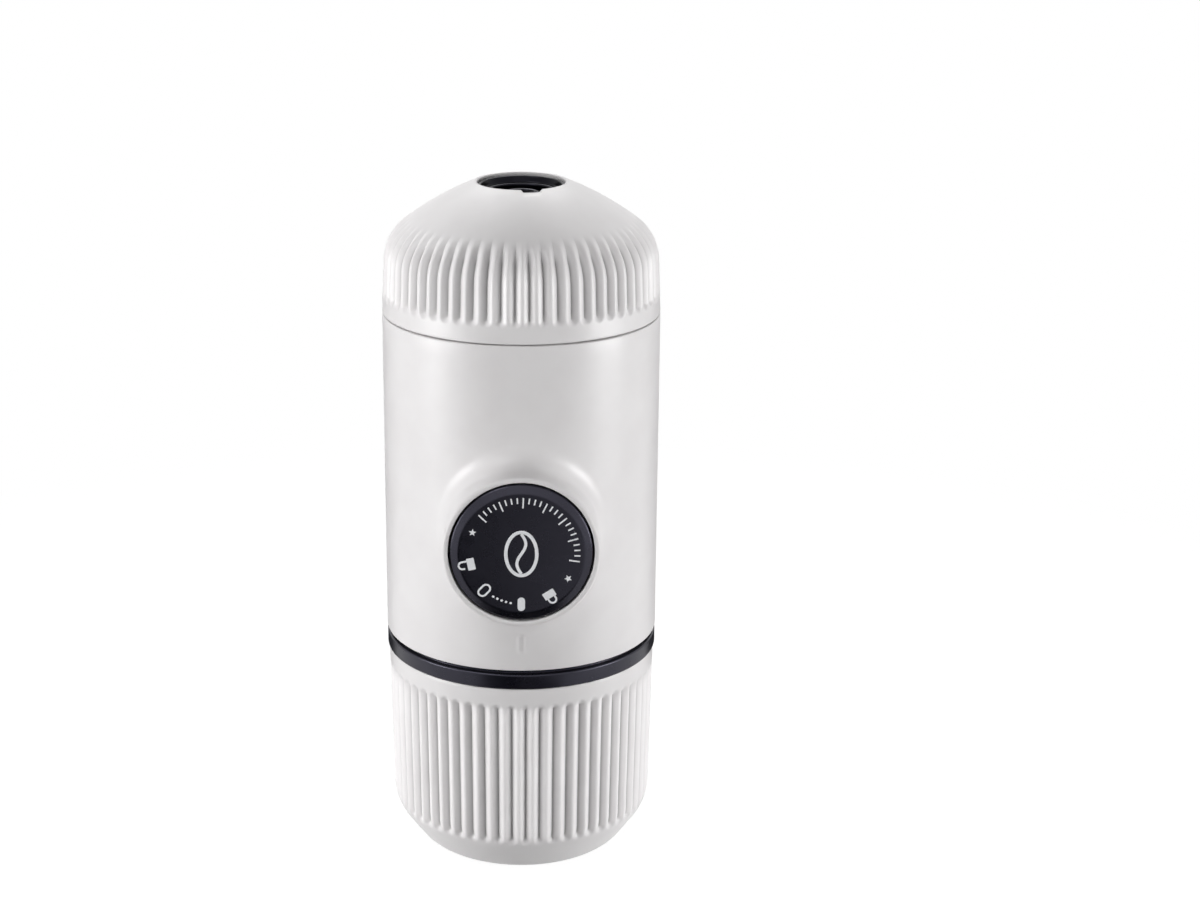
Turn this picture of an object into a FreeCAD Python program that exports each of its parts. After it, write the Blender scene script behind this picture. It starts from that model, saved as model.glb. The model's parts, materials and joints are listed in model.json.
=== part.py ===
"""Handheld manual espresso maker, standing on its cup with the outlet head on top.

Millimetres. The origin is the centre of the cup's flat base, +Z runs up the body's axis, and the
piston knob faces -Y. Each piece is one solid, or one group of equal solids, written as a STEP file
of its own.
"""
import FreeCAD
import Part
import os
from math import atan2, cos, degrees, radians, sin, sqrt, tan

Vec = FreeCAD.Vector
ORIGIN = Vec(0, 0, 0)
X_AXIS = Vec(1, 0, 0)
Y_AXIS = Vec(0, 1, 0)
Z_AXIS = Vec(0, 0, 1)

# ---- outer form --------------------------------------------------------------------------------
body_radius = 31.0          # the straight body, and the widest part of ring and head
cup_height = 48.1
ring_height = 4.6           # the tank's rim, seen between cup and body
body_height = 74.2
head_height = 29.1
head_seam = 0.3             # the open line between body and head
ring_inset = 0.05           # the ring stands this far inside the body's side
ring_recess_height = 1.0    # the dark step between ring and body
ring_recess_depth = 1.3

shell_wall = 2.0
cup_wall = 1.8
tank_wall = 1.7

# ---- cup outline -------------------------------------------------------------------------------
cup_foot_radius = 19.45     # the flat base
cup_foot_round = 6.6
cup_corner_round = 10.1
cup_slope = 54.0            # degrees, the cone between the two rounds
cup_rim_step = 0.4          # the cup's rim is this much smaller than the body
cup_taper = 0.6             # radius gained from the corner to the rim

# ---- head outline ------------------------------------------------------------------------------
head_side_height = 12.0     # from the head's lower edge to its shoulder
head_taper = 0.5            # radius lost on the way to the shoulder
shoulder_round = 10.4
shoulder_end = 53.0         # degrees from level, where the dome begins
outlet_radius = 9.7
outlet_rim = 0.5            # width of the rim's rounded edge
outlet_collar_wall = 1.5
outlet_collar_depth = 8.0
notch_radius = 2.3          # the nick in the outlet rim
notch_side = 2.2
notch_depth = 1.0

# ---- flutes ------------------------------------------------------------------------------------
flute_count = 60
flute_depth = 0.6
flute_half_width = 0.7
flute_fade = 3.0            # length over which a flute runs out
hidden_chords = 2           # straight runs that stand for each round on hidden sides
cup_flute_top = 5.8         # below the cup's rim
cup_flute_turn = 20.0       # degrees that a flute follows round the cup's corner
head_flute_start = 4.4      # above the head's lower edge
head_flute_turn = 38.0      # degrees that a flute follows round the head's shoulder

# ---- piston knob and its collar ----------------------------------------------------------------
knob_height = 30.8          # the knob's centre above the body's lower edge
knob_radius = 15.5
knob_gap = 0.2              # round the knob, inside its collar
knob_reach = 9.0            # the knob's face in front of the body
knob_length = 22.0          # from its face to the end of its skirt
knob_room = 2.5             # behind the pressed-in knob, to the guide's floor
knob_face_thickness = 2.5
knob_skirt_wall = 1.6
knob_bevel = 1.6
knob_bevel_depth = 0.7
collar_wall = 1.2
collar_setback = 0.5        # the knob stands this far in front of its collar
collar_blend = 5.0
collar_edge = 0.6
mark_drop = 24.5            # the index mark's centre below the knob's
mark_length = 4.9
mark_width = 1.2

hub_radius = 7.0
hub_length = 20.7
lug_radius = 9.3
lug_length = 3.6
lug_angle = 30.0            # degrees that each lock lug is wide
lock_turn = 44.0            # degrees between locked and free
stop_slack = 2.0            # degrees between a lug and its stop
stop_length = 5.5
knob_pin_radius = 0.9
knob_pin_setback = 6.0      # the pins behind the knob's face plate
groove_depth = 1.2          # of the turning groove in the rod

# ---- pump --------------------------------------------------------------------------------------
guide_wall = 1.8
guide_length = 16.5
guide_floor = 2.5
bush_wall = 1.8
rod_radius = 4.5
bore_radius = 6.5           # of the pump barrel
barrel_wall = 2.0
barrel_back_gap = 5.7       # from the barrel's end to the inside of the shell
barrel_end = 2.0
barrel_flange_radius = 11.5
barrel_flange = 2.0
piston_length = 8.0
piston_gap = 0.2            # round the piston's body
ring_gap = 0.05             # round its rings
piston_ring_width = 1.6
piston_ring_depth = 1.3
piston_clearance = 8.5      # from the piston to the barrel's end wall, knob pressed in

duct_radius = 5.5           # the upright water duct behind the barrel
duct_bore = 3.4
duct_setback = 4.5          # its axis in front of the barrel's end wall
seat_bore = 1.8
seat_thickness = 3.0
valve_radius = 3.0
valve_thickness = 1.5
valve_stem = 1.1
valve_stem_length = 4.5

relief_side = 11.0          # the relief valve's axis beside the duct
relief_radius = 4.2
relief_bore = 2.2
relief_hole = 0.9
relief_height = 13.0
relief_seat = 2.5
ball_radius = 1.9
cap_thickness = 2.0
spring_wire = 1.2
spring_radius = 11.0        # the return spring's, to the middle of its wire
spring_turns = 5.5
small_wire = 0.5
small_turns = 3.5

# ---- core --------------------------------------------------------------------------------------
deck_gap = 0.1
roof_thickness = 2.5        # over the tank
deck_thickness = 2.5
deck_inset = 2.0            # the decks inside the shell
web_thickness = 2.5
post_radius = 3.0
post_inset = 7.45           # the posts inside the shell, measured across the body
post_front = 4.0            # the front posts behind the guide
post_rear = 23.0            # the rear posts behind the guide
screw_radius = 1.1
screw_spare = 0.5           # the screws end this far below the foot's top
screw_head_radius = 2.2
screw_head_height = 1.3

# ---- brewing neck, basket and scoop ------------------------------------------------------------
neck_wall = 2.8
neck_reach = 11.0           # rim of neck and basket above the head's lower edge
duct_height = 6.0           # from the neck's foot to its floor
neck_floor = 2.5
screen_standoff = 2.0
screen_thickness = 0.8
screen_rim = 1.0            # wall of the shower screen's standing rim
screen_hole = 1.0           # half the width of a hole in the screens
screen_pitch = 7.5
screen_rings = 2
chamber_gasket_height = 1.5
basket_wall = 1.6
basket_floor = 1.2
basket_ledge = 1.8
basket_rim = 1.9            # how far the basket's rim stands out
basket_rim_height = 2.0
scoop_wall = 1.3
scoop_floor = 1.5
scoop_standoff = 6.7        # the scoop's foot above the basket's
scoop_edge = 1.0            # chamfer round the scoop's foot
scoop_corner = 2.0          # and round its floor, inside
scoop_drop = 2.4            # the scoop's rim below the basket's

# ---- head, inside ------------------------------------------------------------------------------
core_ceiling = 2.4
core_skirt_wall = 2.55      # between the shell and the neck's thread
core_lip_wall = 1.4
filter_drop = 1.4           # the outlet filter's top below the basket's rim
filter_thickness = 0.7
gasket_height = 1.4
spout_bore = 3.2
spout_wall = 1.2
spout_drop = 0.7            # the spout insert's top below the outlet rim
spout_height = 6.3
spout_lip_drop = 1.8        # the spout's lip and the ribs below the insert's rim
spout_rib_drop = 2.9
spout_floor = 1.5
spout_rib = 1.1
spout_ribs = 6

# ---- water tank --------------------------------------------------------------------------------
tank_gap = 0.5              # between tank and cup
socket_wall = 1.65          # between the shell and the tank neck's thread
tank_neck_wall = 1.8
shoulder_drop = 6.0         # where the tank's inside starts to narrow, below its ring
seal_drop = 2.1             # the cup's seal below the ring
seal_width = 1.8
seal_depth = 1.2
tank_gasket_height = 1.3
strainer_radius = 5.0
strainer_height = 3.0
strainer_wall = 1.0
strainer_slots = 8
air_valve_side = 14.0
air_valve_back = 4.0
air_valve_radius = 3.5
air_stem_radius = 1.2
air_cap_height = 1.0
air_cap_edge = 0.4
air_bead_radius = 1.8
air_bead_height = 2.0

# ---- clearances --------------------------------------------------------------------------------
fit_gap = 0.05              # between pieces fixed in each other
run_gap = 0.3               # between pieces that move past each other
rest_gap = 0.1              # between pieces that rest on each other
over = 1.0                  # how far a cutter reaches past what it cuts
hair = 1e-3                 # lengths closer than this are the same

# ---- levels and places worked out from the sizes above -----------------------------------------
ring_z = cup_height
body_z = ring_z + ring_height
head_z = body_z + body_height
top_z = head_z + head_height
shell_top = head_z - head_seam / 2
head_bottom = head_z + head_seam / 2

knob_z = body_z + knob_height
knob_face_y = -(body_radius + knob_reach)
knob_back_y = knob_face_y + knob_length
hub_end_y = knob_face_y + knob_face_thickness + hub_length
collar_bore = knob_radius + knob_gap
collar_radius = collar_bore + collar_wall
collar_y = knob_face_y + collar_setback

shell_bore = body_radius - shell_wall
inner_radius = shell_bore - fit_gap
neck_radius = inner_radius - core_skirt_wall - run_gap
tank_neck_radius = inner_radius - socket_wall - run_gap
post_side = inner_radius - post_inset

guide_radius = collar_bore + guide_wall
guide_floor_y = knob_back_y + knob_room
guide_back_y = guide_floor_y + guide_floor
bush_radius = rod_radius + ring_gap + bush_wall

barrel_y = guide_back_y
barrel_radius = bore_radius + barrel_wall
barrel_end_y = sqrt(inner_radius ** 2 - barrel_radius ** 2) - barrel_back_gap
piston_back_y = barrel_end_y - barrel_end - piston_clearance
piston_front_y = piston_back_y - piston_length
duct_y = barrel_end_y - barrel_end - duct_setback

roof_top = knob_z - guide_radius - deck_gap
roof_z = roof_top - roof_thickness
neck_foot_z = knob_z + guide_radius + deck_thickness
neck_floor_z = neck_foot_z + duct_height
screen_z = neck_floor_z + neck_floor + screen_standoff
chamber_gasket_z = screen_z + screen_thickness + rest_gap
basket_z = chamber_gasket_z + chamber_gasket_height + run_gap
basket_rim_z = head_z + neck_reach
neck_bore = neck_radius - neck_wall
basket_radius = neck_bore - run_gap
basket_bore = basket_radius - basket_wall
scoop_radius = basket_bore - run_gap
scoop_rim_z = basket_rim_z - scoop_drop
filter_radius = basket_bore - run_gap
ceiling_z = basket_rim_z + rest_gap + gasket_height + rest_gap
ceiling_top = ceiling_z + core_ceiling
spout_top = top_z - spout_drop
spout_z = spout_top - spout_height

tank_neck_top = roof_z - tank_gasket_height - 2 * rest_gap
tank_neck_bore = tank_neck_radius - tank_neck_wall
tank_inset = cup_wall + tank_gap
cup_wall_radius = body_radius - cup_rim_step - cup_taper
post_places = [(side * post_side, guide_back_y + back)
               for side in (-1, 1) for back in (post_front, post_rear)]


# ---- ways of making solids ---------------------------------------------------------------------
class Outline:
    """A closed outline in the (radius, height) half-plane, turned into a solid about its axis."""

    def __init__(self, radius, height):
        self.start = Vec(radius, 0, height)
        self.last = self.start
        self.edges = []

    def line(self, *places):
        for radius, height in places:
            point = Vec(radius, 0, height)
            self.edges.append(Part.LineSegment(self.last, point).toShape())
            self.last = point
        return self

    def turn(self, radius, height, angle, chords=0):
        """An arc about (radius, height), or chords of it; a positive angle turns upwards from level."""
        centre = Vec(radius, 0, height)
        arm = self.last - centre
        for chord in range(chords):
            place = centre + turned(arm, angle * (chord + 1) / chords)
            self.line((place.x, place.z))
        if not chords:
            middle, end = (centre + turned(arm, part * angle) for part in (0.5, 1.0))
            self.edges.append(Part.Arc(self.last, middle, end).toShape())
            self.last = end
        return self

    def solid(self):
        if self.last.distanceToPoint(self.start) > hair:
            self.line((self.start.x, self.start.z))
        return Part.Face(Part.Wire(self.edges)).revolve(ORIGIN, Z_AXIS, 360)


def turned(arm, angle):
    along, across = cos(radians(angle)), sin(radians(angle))
    return Vec(arm.x * along - arm.z * across, 0, arm.x * across + arm.z * along)


def ring(inner, outer, low, high):
    """A plain ring or disc about the body's axis."""
    return Outline(inner, low).line((outer, low), (outer, high), (inner, high)).solid()


def round_bar(radius, low, high, x=0.0, y=0.0):
    return Part.makeCylinder(radius, high - low, Vec(x, y, low))


def lying(solid):
    """Lays a solid that was turned about Z along the knob's axis: its heights become places on Y."""
    solid = solid.copy()
    solid.rotate(ORIGIN, X_AXIS, -90)
    solid.translate(Vec(0, 0, knob_z))
    return solid


def lying_ring(inner, outer, front, back):
    return lying(ring(inner, outer, front, back))


def block(low, high):
    return Part.makeBox(*(high - low), low)


def around(solid, count, axis=Z_AXIS, centre=ORIGIN, first=0.0):
    """Copies of a solid, evenly spaced about an axis."""
    copies = []
    for number in range(count):
        copy = solid.copy()
        copy.rotate(centre, axis, first + number * 360.0 / count)
        copies.append(copy)
    return copies


def sector(inner, outer, low, high, angle):
    """Part of a ring, centred on +X and angle degrees wide."""
    piece = Outline(inner, low).line((outer, low), (outer, high), (inner, high), (inner, low))
    face = Part.Face(Part.Wire(piece.edges))
    face.rotate(ORIGIN, Z_AXIS, -angle / 2)
    return face.revolve(ORIGIN, Z_AXIS, angle)


def spring(radius, wire, low, high, turns):
    """A coil of square wire about Z, which ends inside the two faces that it bears on."""
    pitch = (high - low - wire) / turns
    start = low + wire / 2
    path = Part.makeHelix(pitch, pitch * turns, radius)
    half = wire / 2
    corners = [Vec(radius + across * half, 0, up * half)
               for across, up in ((-1, -1), (1, -1), (1, 1), (-1, 1), (-1, -1))]
    section = Part.makePolygon(corners)
    coil = Part.Wire(path.Edges).makePipeShell([section], True, True)
    coil.translate(Vec(0, 0, start))
    return coil


def screen_holes(low, high):
    """Six-sided holes on a hexagonal grid, screen_rings about the middle one."""
    corners = [Vec(screen_hole * cos(radians(60 * k)), screen_hole * sin(radians(60 * k)), low)
               for k in range(7)]
    hole = Part.Face(Part.makePolygon(corners)).extrude(Z_AXIS * (high - low))
    holes = []
    for column in range(-screen_rings, screen_rings + 1):
        for row in range(-screen_rings, screen_rings + 1):
            if abs(column + row) <= screen_rings:
                place = Vec(column + row / 2, row * sqrt(3) / 2, 0) * screen_pitch
                holes.append(hole.translated(place))
    return holes


# ---- outlines of cup and head ------------------------------------------------------------------
def cup_form(inset, top, chords=0):
    """The cup's outside, moved in by inset and filled, from its base up to the height top.

    Hidden sides take chords in place of the two rounds, which lie a little further in.
    """
    corner = cup_corner_round - inset
    slope = radians(cup_slope)
    foot_end = cup_foot_radius + cup_foot_round * sin(slope)
    cone_end = cup_wall_radius - cup_corner_round * (1 - sin(slope))
    cone_rise = (cone_end - foot_end) * tan(slope)
    corner_z = cup_foot_round * (1 - cos(slope)) + cone_rise + cup_corner_round * cos(slope)
    side = (top - corner_z) / (cup_height - corner_z) * cup_taper
    form = Outline(0, inset).line((cup_foot_radius, inset))
    form.turn(cup_foot_radius, cup_foot_round, cup_slope, chords)
    centre = cup_wall_radius - cup_corner_round
    start = turned(Vec(corner, 0, 0), cup_slope - 90)
    form.line((centre + start.x, corner_z + start.z))
    form.turn(centre, corner_z, 90 - cup_slope, chords)
    form.line((cup_wall_radius - inset + side, top), (0, top))
    return form.solid(), corner_z


def head_shoulder():
    """The shoulder's centre, the angle at which it begins, and the dome's radius."""
    lean = atan2(head_taper, head_side_height)
    side_top = Vec(body_radius - head_taper, 0, head_z + head_side_height)
    centre = side_top - Vec(cos(lean), 0, sin(lean)) * shoulder_round
    out = Vec(cos(radians(shoulder_end)), 0, sin(radians(shoulder_end)))
    joint = centre + out * shoulder_round
    reach = Vec(outlet_radius + outlet_rim, 0, top_z) - joint
    dome_radius = -reach.dot(reach) / (2 * reach.dot(out))
    return centre, degrees(lean), joint - out * dome_radius, dome_radius


def head_form(inset, bottom, mouth, chords=0):
    """The head's outside, moved in by inset and filled, up to a mouth of the given radius."""
    centre, lean, dome, dome_radius = head_shoulder()
    slope = head_taper / head_side_height
    foot = body_radius - inset / cos(radians(lean)) - (bottom - head_z) * slope
    start = centre + turned(Vec(shoulder_round - inset, 0, 0), lean)
    form = Outline(0, bottom).line((foot, bottom), (start.x, start.z))
    form.turn(centre.x, centre.z, shoulder_end - lean, chords)
    end = atan2(sqrt((dome_radius - inset) ** 2 - (mouth - dome.x) ** 2), mouth - dome.x)
    form.turn(dome.x, dome.z, degrees(end) - shoulder_end, chords)
    form.line((0, form.last.z))
    return form.solid()


def flute(foot, shoulder, centre, turn, steps):
    """A V-shaped cutter that runs from foot to shoulder, then in steps round centre, and fades out."""
    run = shoulder - foot
    run.normalize()
    out = shoulder - centre
    reach = out.Length
    out.normalize()
    above = flute_depth
    half = flute_half_width * (flute_depth + above) / flute_depth

    def section(place, outward):
        edge = place + outward * above
        return [place - outward * flute_depth, edge + Y_AXIS * half, edge - Y_AXIS * half]

    sections = [section(foot, out)]
    for step in range(steps + 1):
        outward = turned(out, turn * step / steps)
        sections.append(section(centre + outward * reach, outward))
    onward = turned(run, turn)
    first_tip = foot - run * flute_fade + out * above
    last_tip = centre + outward * (reach + above) + onward * flute_fade
    faces = []
    for side in range(3):
        after = (side + 1) % 3
        faces.append([sections[0][side], sections[0][after], first_tip])
        faces.append([sections[-1][side], sections[-1][after], last_tip])
        for near, far in zip(sections, sections[1:]):
            faces.append([near[side], near[after], far[after], far[side]])
    sheets = [Part.Face(Part.makePolygon(corners + corners[:1])) for corners in faces]
    cutter = Part.makeSolid(Part.makeShell(sheets))
    return cutter if cutter.Volume > 0 else cutter.reversed()


# ---- the pieces --------------------------------------------------------------------------------
def make_cup():
    outside, corner_z = cup_form(0, cup_height)
    inside = cup_form(cup_wall, cup_height + over, hidden_chords)[0]
    centre = Vec(cup_wall_radius - cup_corner_round, 0, corner_z)
    foot_z = cup_height - cup_flute_top
    side = (foot_z - corner_z) / (cup_height - corner_z) * cup_taper
    foot = Vec(cup_wall_radius + side, 0, foot_z)
    shoulder = Vec(cup_wall_radius, 0, corner_z)
    cutter = flute(foot, shoulder, centre, -cup_flute_turn, 1)
    return outside.cut([inside] + around(cutter, flute_count, first=180.0 / flute_count))


def make_head_shell():
    centre = head_shoulder()[0]
    mouth = outlet_radius + outlet_rim
    outside = head_form(0, head_bottom, mouth)
    inside = head_form(shell_wall, head_bottom - over, mouth, hidden_chords)
    collar_z = top_z - outlet_collar_depth
    collar = ring(0, outlet_radius + outlet_collar_wall, collar_z, top_z).common(outside)
    rim = Outline(0, collar_z - over).line((outlet_radius, collar_z - over))
    rim.line((outlet_radius, top_z - outlet_rim))
    rim.line((mouth, top_z), (mouth, top_z + over), (0, top_z + over))
    notch = Part.makeCylinder(notch_radius, mouth, Vec(notch_side, 0, 0), -Y_AXIS)
    notch.translate(Vec(0, 0, top_z - notch_depth + notch_radius))
    foot_z = head_z + head_flute_start
    foot = Vec(body_radius - head_flute_start * head_taper / head_side_height, 0, foot_z)
    shoulder = Vec(body_radius - head_taper, 0, head_z + head_side_height)
    cutter = flute(foot, shoulder, centre, head_flute_turn, 2)
    shell = outside.cut(inside).fuse(collar).cut([rim.solid(), notch])
    return shell.cut(around(cutter, flute_count, first=180.0 / flute_count))


def make_body_shell():
    side = round_bar(body_radius, body_z, shell_top)
    collar = lying_ring(0, collar_radius, collar_y, -body_radius / 2)
    shell = side.fuse(collar)
    meeting = [edge for edge in shell.Edges if not isinstance(edge.Curve, (Part.Line, Part.Circle))]
    shell = shell.makeFillet(collar_blend, meeting)
    rim = [edge for edge in shell.Edges if isinstance(edge.Curve, Part.Circle)
           and edge.BoundBox.YMax < collar_y + hair]
    shell = shell.makeChamfer(collar_edge, rim)
    inside = round_bar(shell_bore, body_z - over, shell_top - shell_wall)
    throat = round_bar(neck_radius + fit_gap, body_z, shell_top + over)
    knob_bore = lying_ring(0, collar_bore, collar_y - over, 0)
    mark_z = knob_z - mark_drop - mark_length / 2
    mark = round_bar(mark_width / 2, mark_z, mark_z + mark_length, 0, -body_radius)
    return shell.cut([inside, throat, knob_bore, mark])


def make_piston_guide():
    """The knob's guide behind the collar, with the stops of the lock and the rod's hole."""
    body = lying_ring(0, guide_radius, guide_back_y - guide_length, guide_back_y)
    hollow = lying_ring(0, collar_bore, guide_back_y - guide_length - over, guide_floor_y)
    width = 180.0 - lock_turn - lug_angle - 2 * stop_slack
    stop_y = guide_floor_y - stop_length
    stop = sector(hub_radius + 2 * run_gap, lug_radius, stop_y, guide_floor_y + over, width)
    # The lugs stand at +X and -X when locked and swing towards +Z; the stops fill what they leave.
    stop.rotate(ORIGIN, Z_AXIS, -lock_turn / 2 - 90)
    stops = [lying(piece) for piece in around(stop, 2)]
    hole = lying_ring(0, bush_radius + fit_gap, stop_y - over, guide_back_y + over)
    shell_side = round_bar(inner_radius, roof_top, neck_foot_z)
    return body.cut(hollow).fuse(stops).cut(hole).common(shell_side)


def make_rod_bush():
    return lying_ring(rod_radius + ring_gap, bush_radius, guide_floor_y, guide_back_y)


def make_piston_knob():
    """The round knob: face, skirt, and a hub with the lock's two lugs at its end."""
    plate_y = knob_face_y + knob_face_thickness
    rim_y = knob_face_y + knob_bevel_depth
    skirt = knob_radius - knob_skirt_wall
    outline = Outline(0, knob_face_y).line((knob_radius - knob_bevel, knob_face_y))
    outline.line((knob_radius, rim_y), (knob_radius, knob_back_y), (skirt, knob_back_y))
    outline.line((skirt, plate_y), (hub_radius, plate_y), (hub_radius, hub_end_y), (0, hub_end_y))
    lug = sector(hub_radius - over, lug_radius - run_gap, hub_end_y - lug_length, hub_end_y, lug_angle)
    bore = lying_ring(0, rod_radius + ring_gap, plate_y, hub_end_y + over)
    knob = lying(outline.solid()).fuse([lying(piece) for piece in around(lug, 2)])
    return knob.cut([bore] + knob_pins(fit_gap))


def knob_pins(gap):
    """Two upright pins across the hub, which hold the knob on the rod's groove and let it turn."""
    place = rod_radius - groove_depth + knob_pin_radius + rest_gap
    reach = sqrt(hub_radius ** 2 - (place + knob_pin_radius) ** 2) - rest_gap + gap
    pin_y = knob_face_y + knob_face_thickness + knob_pin_setback
    return [round_bar(knob_pin_radius + gap, knob_z - reach, knob_z + reach, side * place, pin_y)
            for side in (-1, 1)]


def make_knob_pins():
    return Part.makeCompound(knob_pins(0))


def make_piston_rod():
    front = knob_face_y + knob_face_thickness + run_gap
    pin_y = knob_face_y + knob_face_thickness + knob_pin_setback
    half = knob_pin_radius + rest_gap
    waist = rod_radius - groove_depth
    outline = Outline(0, front).line((rod_radius, front), (rod_radius, pin_y - half))
    outline.line((waist, pin_y - half), (waist, pin_y + half), (rod_radius, pin_y + half))
    outline.line((rod_radius, piston_front_y), (0, piston_front_y))
    return lying(outline.solid())


def piston_ring_places():
    spare = (piston_length - 2 * piston_ring_width) / 3
    return [piston_front_y + spare + number * (spare + piston_ring_width) for number in range(2)]


def make_piston_head():
    radius = bore_radius - piston_gap
    head = lying_ring(0, radius, piston_front_y, piston_back_y)
    grooves = [lying_ring(radius - piston_ring_depth, radius + over, place, place + piston_ring_width)
               for place in piston_ring_places()]
    return head.cut(grooves)


def make_piston_rings():
    inner = bore_radius - piston_gap - piston_ring_depth + fit_gap
    width = piston_ring_width - fit_gap
    rings = [lying_ring(inner, bore_radius - ring_gap, place + fit_gap, place + width)
             for place in piston_ring_places()]
    return Part.makeCompound(rings)


def make_return_spring():
    front = knob_face_y + knob_face_thickness + rest_gap
    back = guide_floor_y - rest_gap
    return lying(spring(spring_radius, spring_wire, front, back, spring_turns))


def valve_levels():
    """The tops of the seats of the intake valve, under the barrel, and the outlet valve, over it."""
    intake = roof_top + seat_thickness
    outlet = knob_z + barrel_radius + seat_thickness - barrel_wall
    return intake, outlet


def make_pump_block():
    """Barrel and water duct in one block, with the seats of its valves and the relief valve's well."""
    barrel = lying_ring(0, barrel_radius, barrel_y, barrel_end_y)
    flange_y = barrel_y + web_thickness
    flange = lying_ring(0, barrel_flange_radius, flange_y, flange_y + barrel_flange)
    duct = round_bar(duct_radius, roof_top, neck_floor_z, 0, duct_y)
    intake, outlet = valve_levels()
    bore = lying_ring(0, bore_radius, barrel_y - over, barrel_end_y - barrel_end)
    lower = round_bar(duct_bore, intake, knob_z, 0, duct_y)
    upper = round_bar(duct_bore, outlet, neck_floor_z + over, 0, duct_y)
    through = round_bar(seat_bore, roof_top - over, neck_floor_z, 0, duct_y)

    foot_z = neck_foot_z - relief_height
    seat_z = foot_z + relief_seat
    hole_z = foot_z + relief_seat / 2
    well = round_bar(relief_radius, foot_z, neck_foot_z, relief_side, duct_y)
    link = block(Vec(0, duct_y - relief_bore, foot_z), Vec(relief_side, duct_y + relief_bore, seat_z))
    well_bore = round_bar(relief_bore, seat_z, neck_foot_z + over, relief_side, duct_y)
    well_hole = round_bar(relief_hole, hole_z, neck_foot_z, relief_side, duct_y)
    cross = Part.makeCylinder(relief_hole, relief_side, Vec(0, duct_y, hole_z), X_AXIS)
    solid = barrel.fuse([flange, duct, well, link])
    return solid.cut([bore, lower, upper, through, well_bore, well_hole, cross])


def poppet(seat):
    disc = round_bar(valve_radius, seat + rest_gap, seat + valve_thickness, 0, duct_y)
    stem_top = seat + valve_thickness + valve_stem_length
    stem = round_bar(valve_stem, seat + valve_thickness, stem_top, 0, duct_y)
    return disc.fuse(stem)


def make_outlet_spring():
    seat = valve_levels()[1] + valve_thickness
    radius = valve_stem + run_gap + small_wire / 2
    coil = spring(radius, small_wire, seat + rest_gap, neck_floor_z - rest_gap, small_turns)
    coil.translate(Vec(0, duct_y, 0))
    return coil


def relief_ball_z():
    seat_z = neck_foot_z - relief_height + relief_seat
    return seat_z + sqrt((ball_radius + rest_gap) ** 2 - relief_hole ** 2)


def make_relief_ball():
    return Part.makeSphere(ball_radius, Vec(relief_side, duct_y, relief_ball_z()))


def make_relief_spring():
    low = relief_ball_z() + ball_radius + rest_gap
    high = neck_foot_z - cap_thickness - rest_gap
    coil = spring(relief_bore - small_wire, small_wire, low, high, small_turns)
    coil.translate(Vec(relief_side, duct_y, 0))
    return coil


def make_relief_cap():
    low = neck_foot_z - cap_thickness
    return round_bar(relief_bore - fit_gap, low, neck_foot_z, relief_side, duct_y)


def make_core_frame():
    """Two decks on four posts, with a web that carries guide and barrel."""
    low, high = roof_top, neck_foot_z
    deck = inner_radius - deck_inset
    floor = ring(0, deck, low, low + deck_thickness)
    ceiling = ring(0, deck, high - deck_thickness, high)
    web_front = guide_back_y + fit_gap
    web_back = guide_back_y + web_thickness
    front = block(Vec(-body_radius, -body_radius, low - over), Vec(body_radius, web_front, high + over))
    web = block(Vec(-post_side, web_front, low), Vec(post_side, web_back, high))
    posts = [round_bar(post_radius, low, high, x, y) for x, y in post_places]
    rib = block(Vec(-web_thickness / 2, guide_back_y + post_front, low),
                Vec(web_thickness / 2, guide_back_y + post_rear, high))
    ribs = [rib.translated(X_AXIS * side) for side in (-post_side, post_side)]
    frame = floor.fuse([ceiling]).cut(front).fuse([web] + posts + ribs)
    barrel = lying_ring(0, barrel_radius + fit_gap, guide_back_y - over, barrel_end_y)
    flange = lying_ring(0, barrel_flange_radius + fit_gap, web_back, barrel_end_y)
    duct = round_bar(duct_radius + fit_gap, low - over, high + over, 0, duct_y)
    well = round_bar(relief_radius + fit_gap, low + deck_thickness, high + over, relief_side, duct_y)
    air_top = low + deck_thickness + over
    air = round_bar(air_valve_radius, low - over, air_top, -air_valve_side, air_valve_back)
    return frame.cut([barrel, flange, duct, well, air] + screw_holes(low - over, high + over))


def make_frame_screws():
    """Four long screws, from under the tank's roof through the posts into the foot of the neck."""
    low = roof_z + screw_head_height
    high = neck_foot_z + deck_thickness - screw_spare
    screw = round_bar(screw_radius, low, high).fuse(round_bar(screw_head_radius, roof_z, low))
    return Part.makeCompound([screw.translated(Vec(x, y, 0)) for x, y in post_places])


def screw_holes(low, high):
    return [round_bar(screw_radius + fit_gap, low, high, x, y) for x, y in post_places]


def make_tank_socket():
    """The threaded well that takes the tank's neck, and the roof over the water."""
    neck_gap = tank_neck_radius + run_gap
    outline = Outline(0, roof_z).line((neck_gap, roof_z), (neck_gap, body_z + rest_gap))
    outline.line((inner_radius, body_z + rest_gap), (inner_radius, roof_top), (0, roof_top))
    low, high = roof_z - over, roof_top + over
    inlet = round_bar(seat_bore, low, high, 0, duct_y)
    air = round_bar(air_stem_radius + fit_gap, low, high, -air_valve_side, air_valve_back)
    heads = [round_bar(screw_head_radius + fit_gap, low, roof_z + screw_head_height, x, y)
             for x, y in post_places]
    return outline.solid().cut([inlet, air] + screw_holes(roof_z, high) + heads)


def make_intake_strainer():
    low = roof_z - strainer_height
    floor = low + strainer_wall
    half = strainer_wall / 2
    cage = round_bar(strainer_radius, low, roof_z)
    cage = cage.cut(round_bar(strainer_radius - strainer_wall, floor, roof_z + over))
    slot = block(Vec(0, -half, floor), Vec(strainer_radius + over, half, roof_z - half))
    cage = cage.cut(around(slot, strainer_slots))
    cage.translate(Vec(0, duct_y, 0))
    return cage


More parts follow.
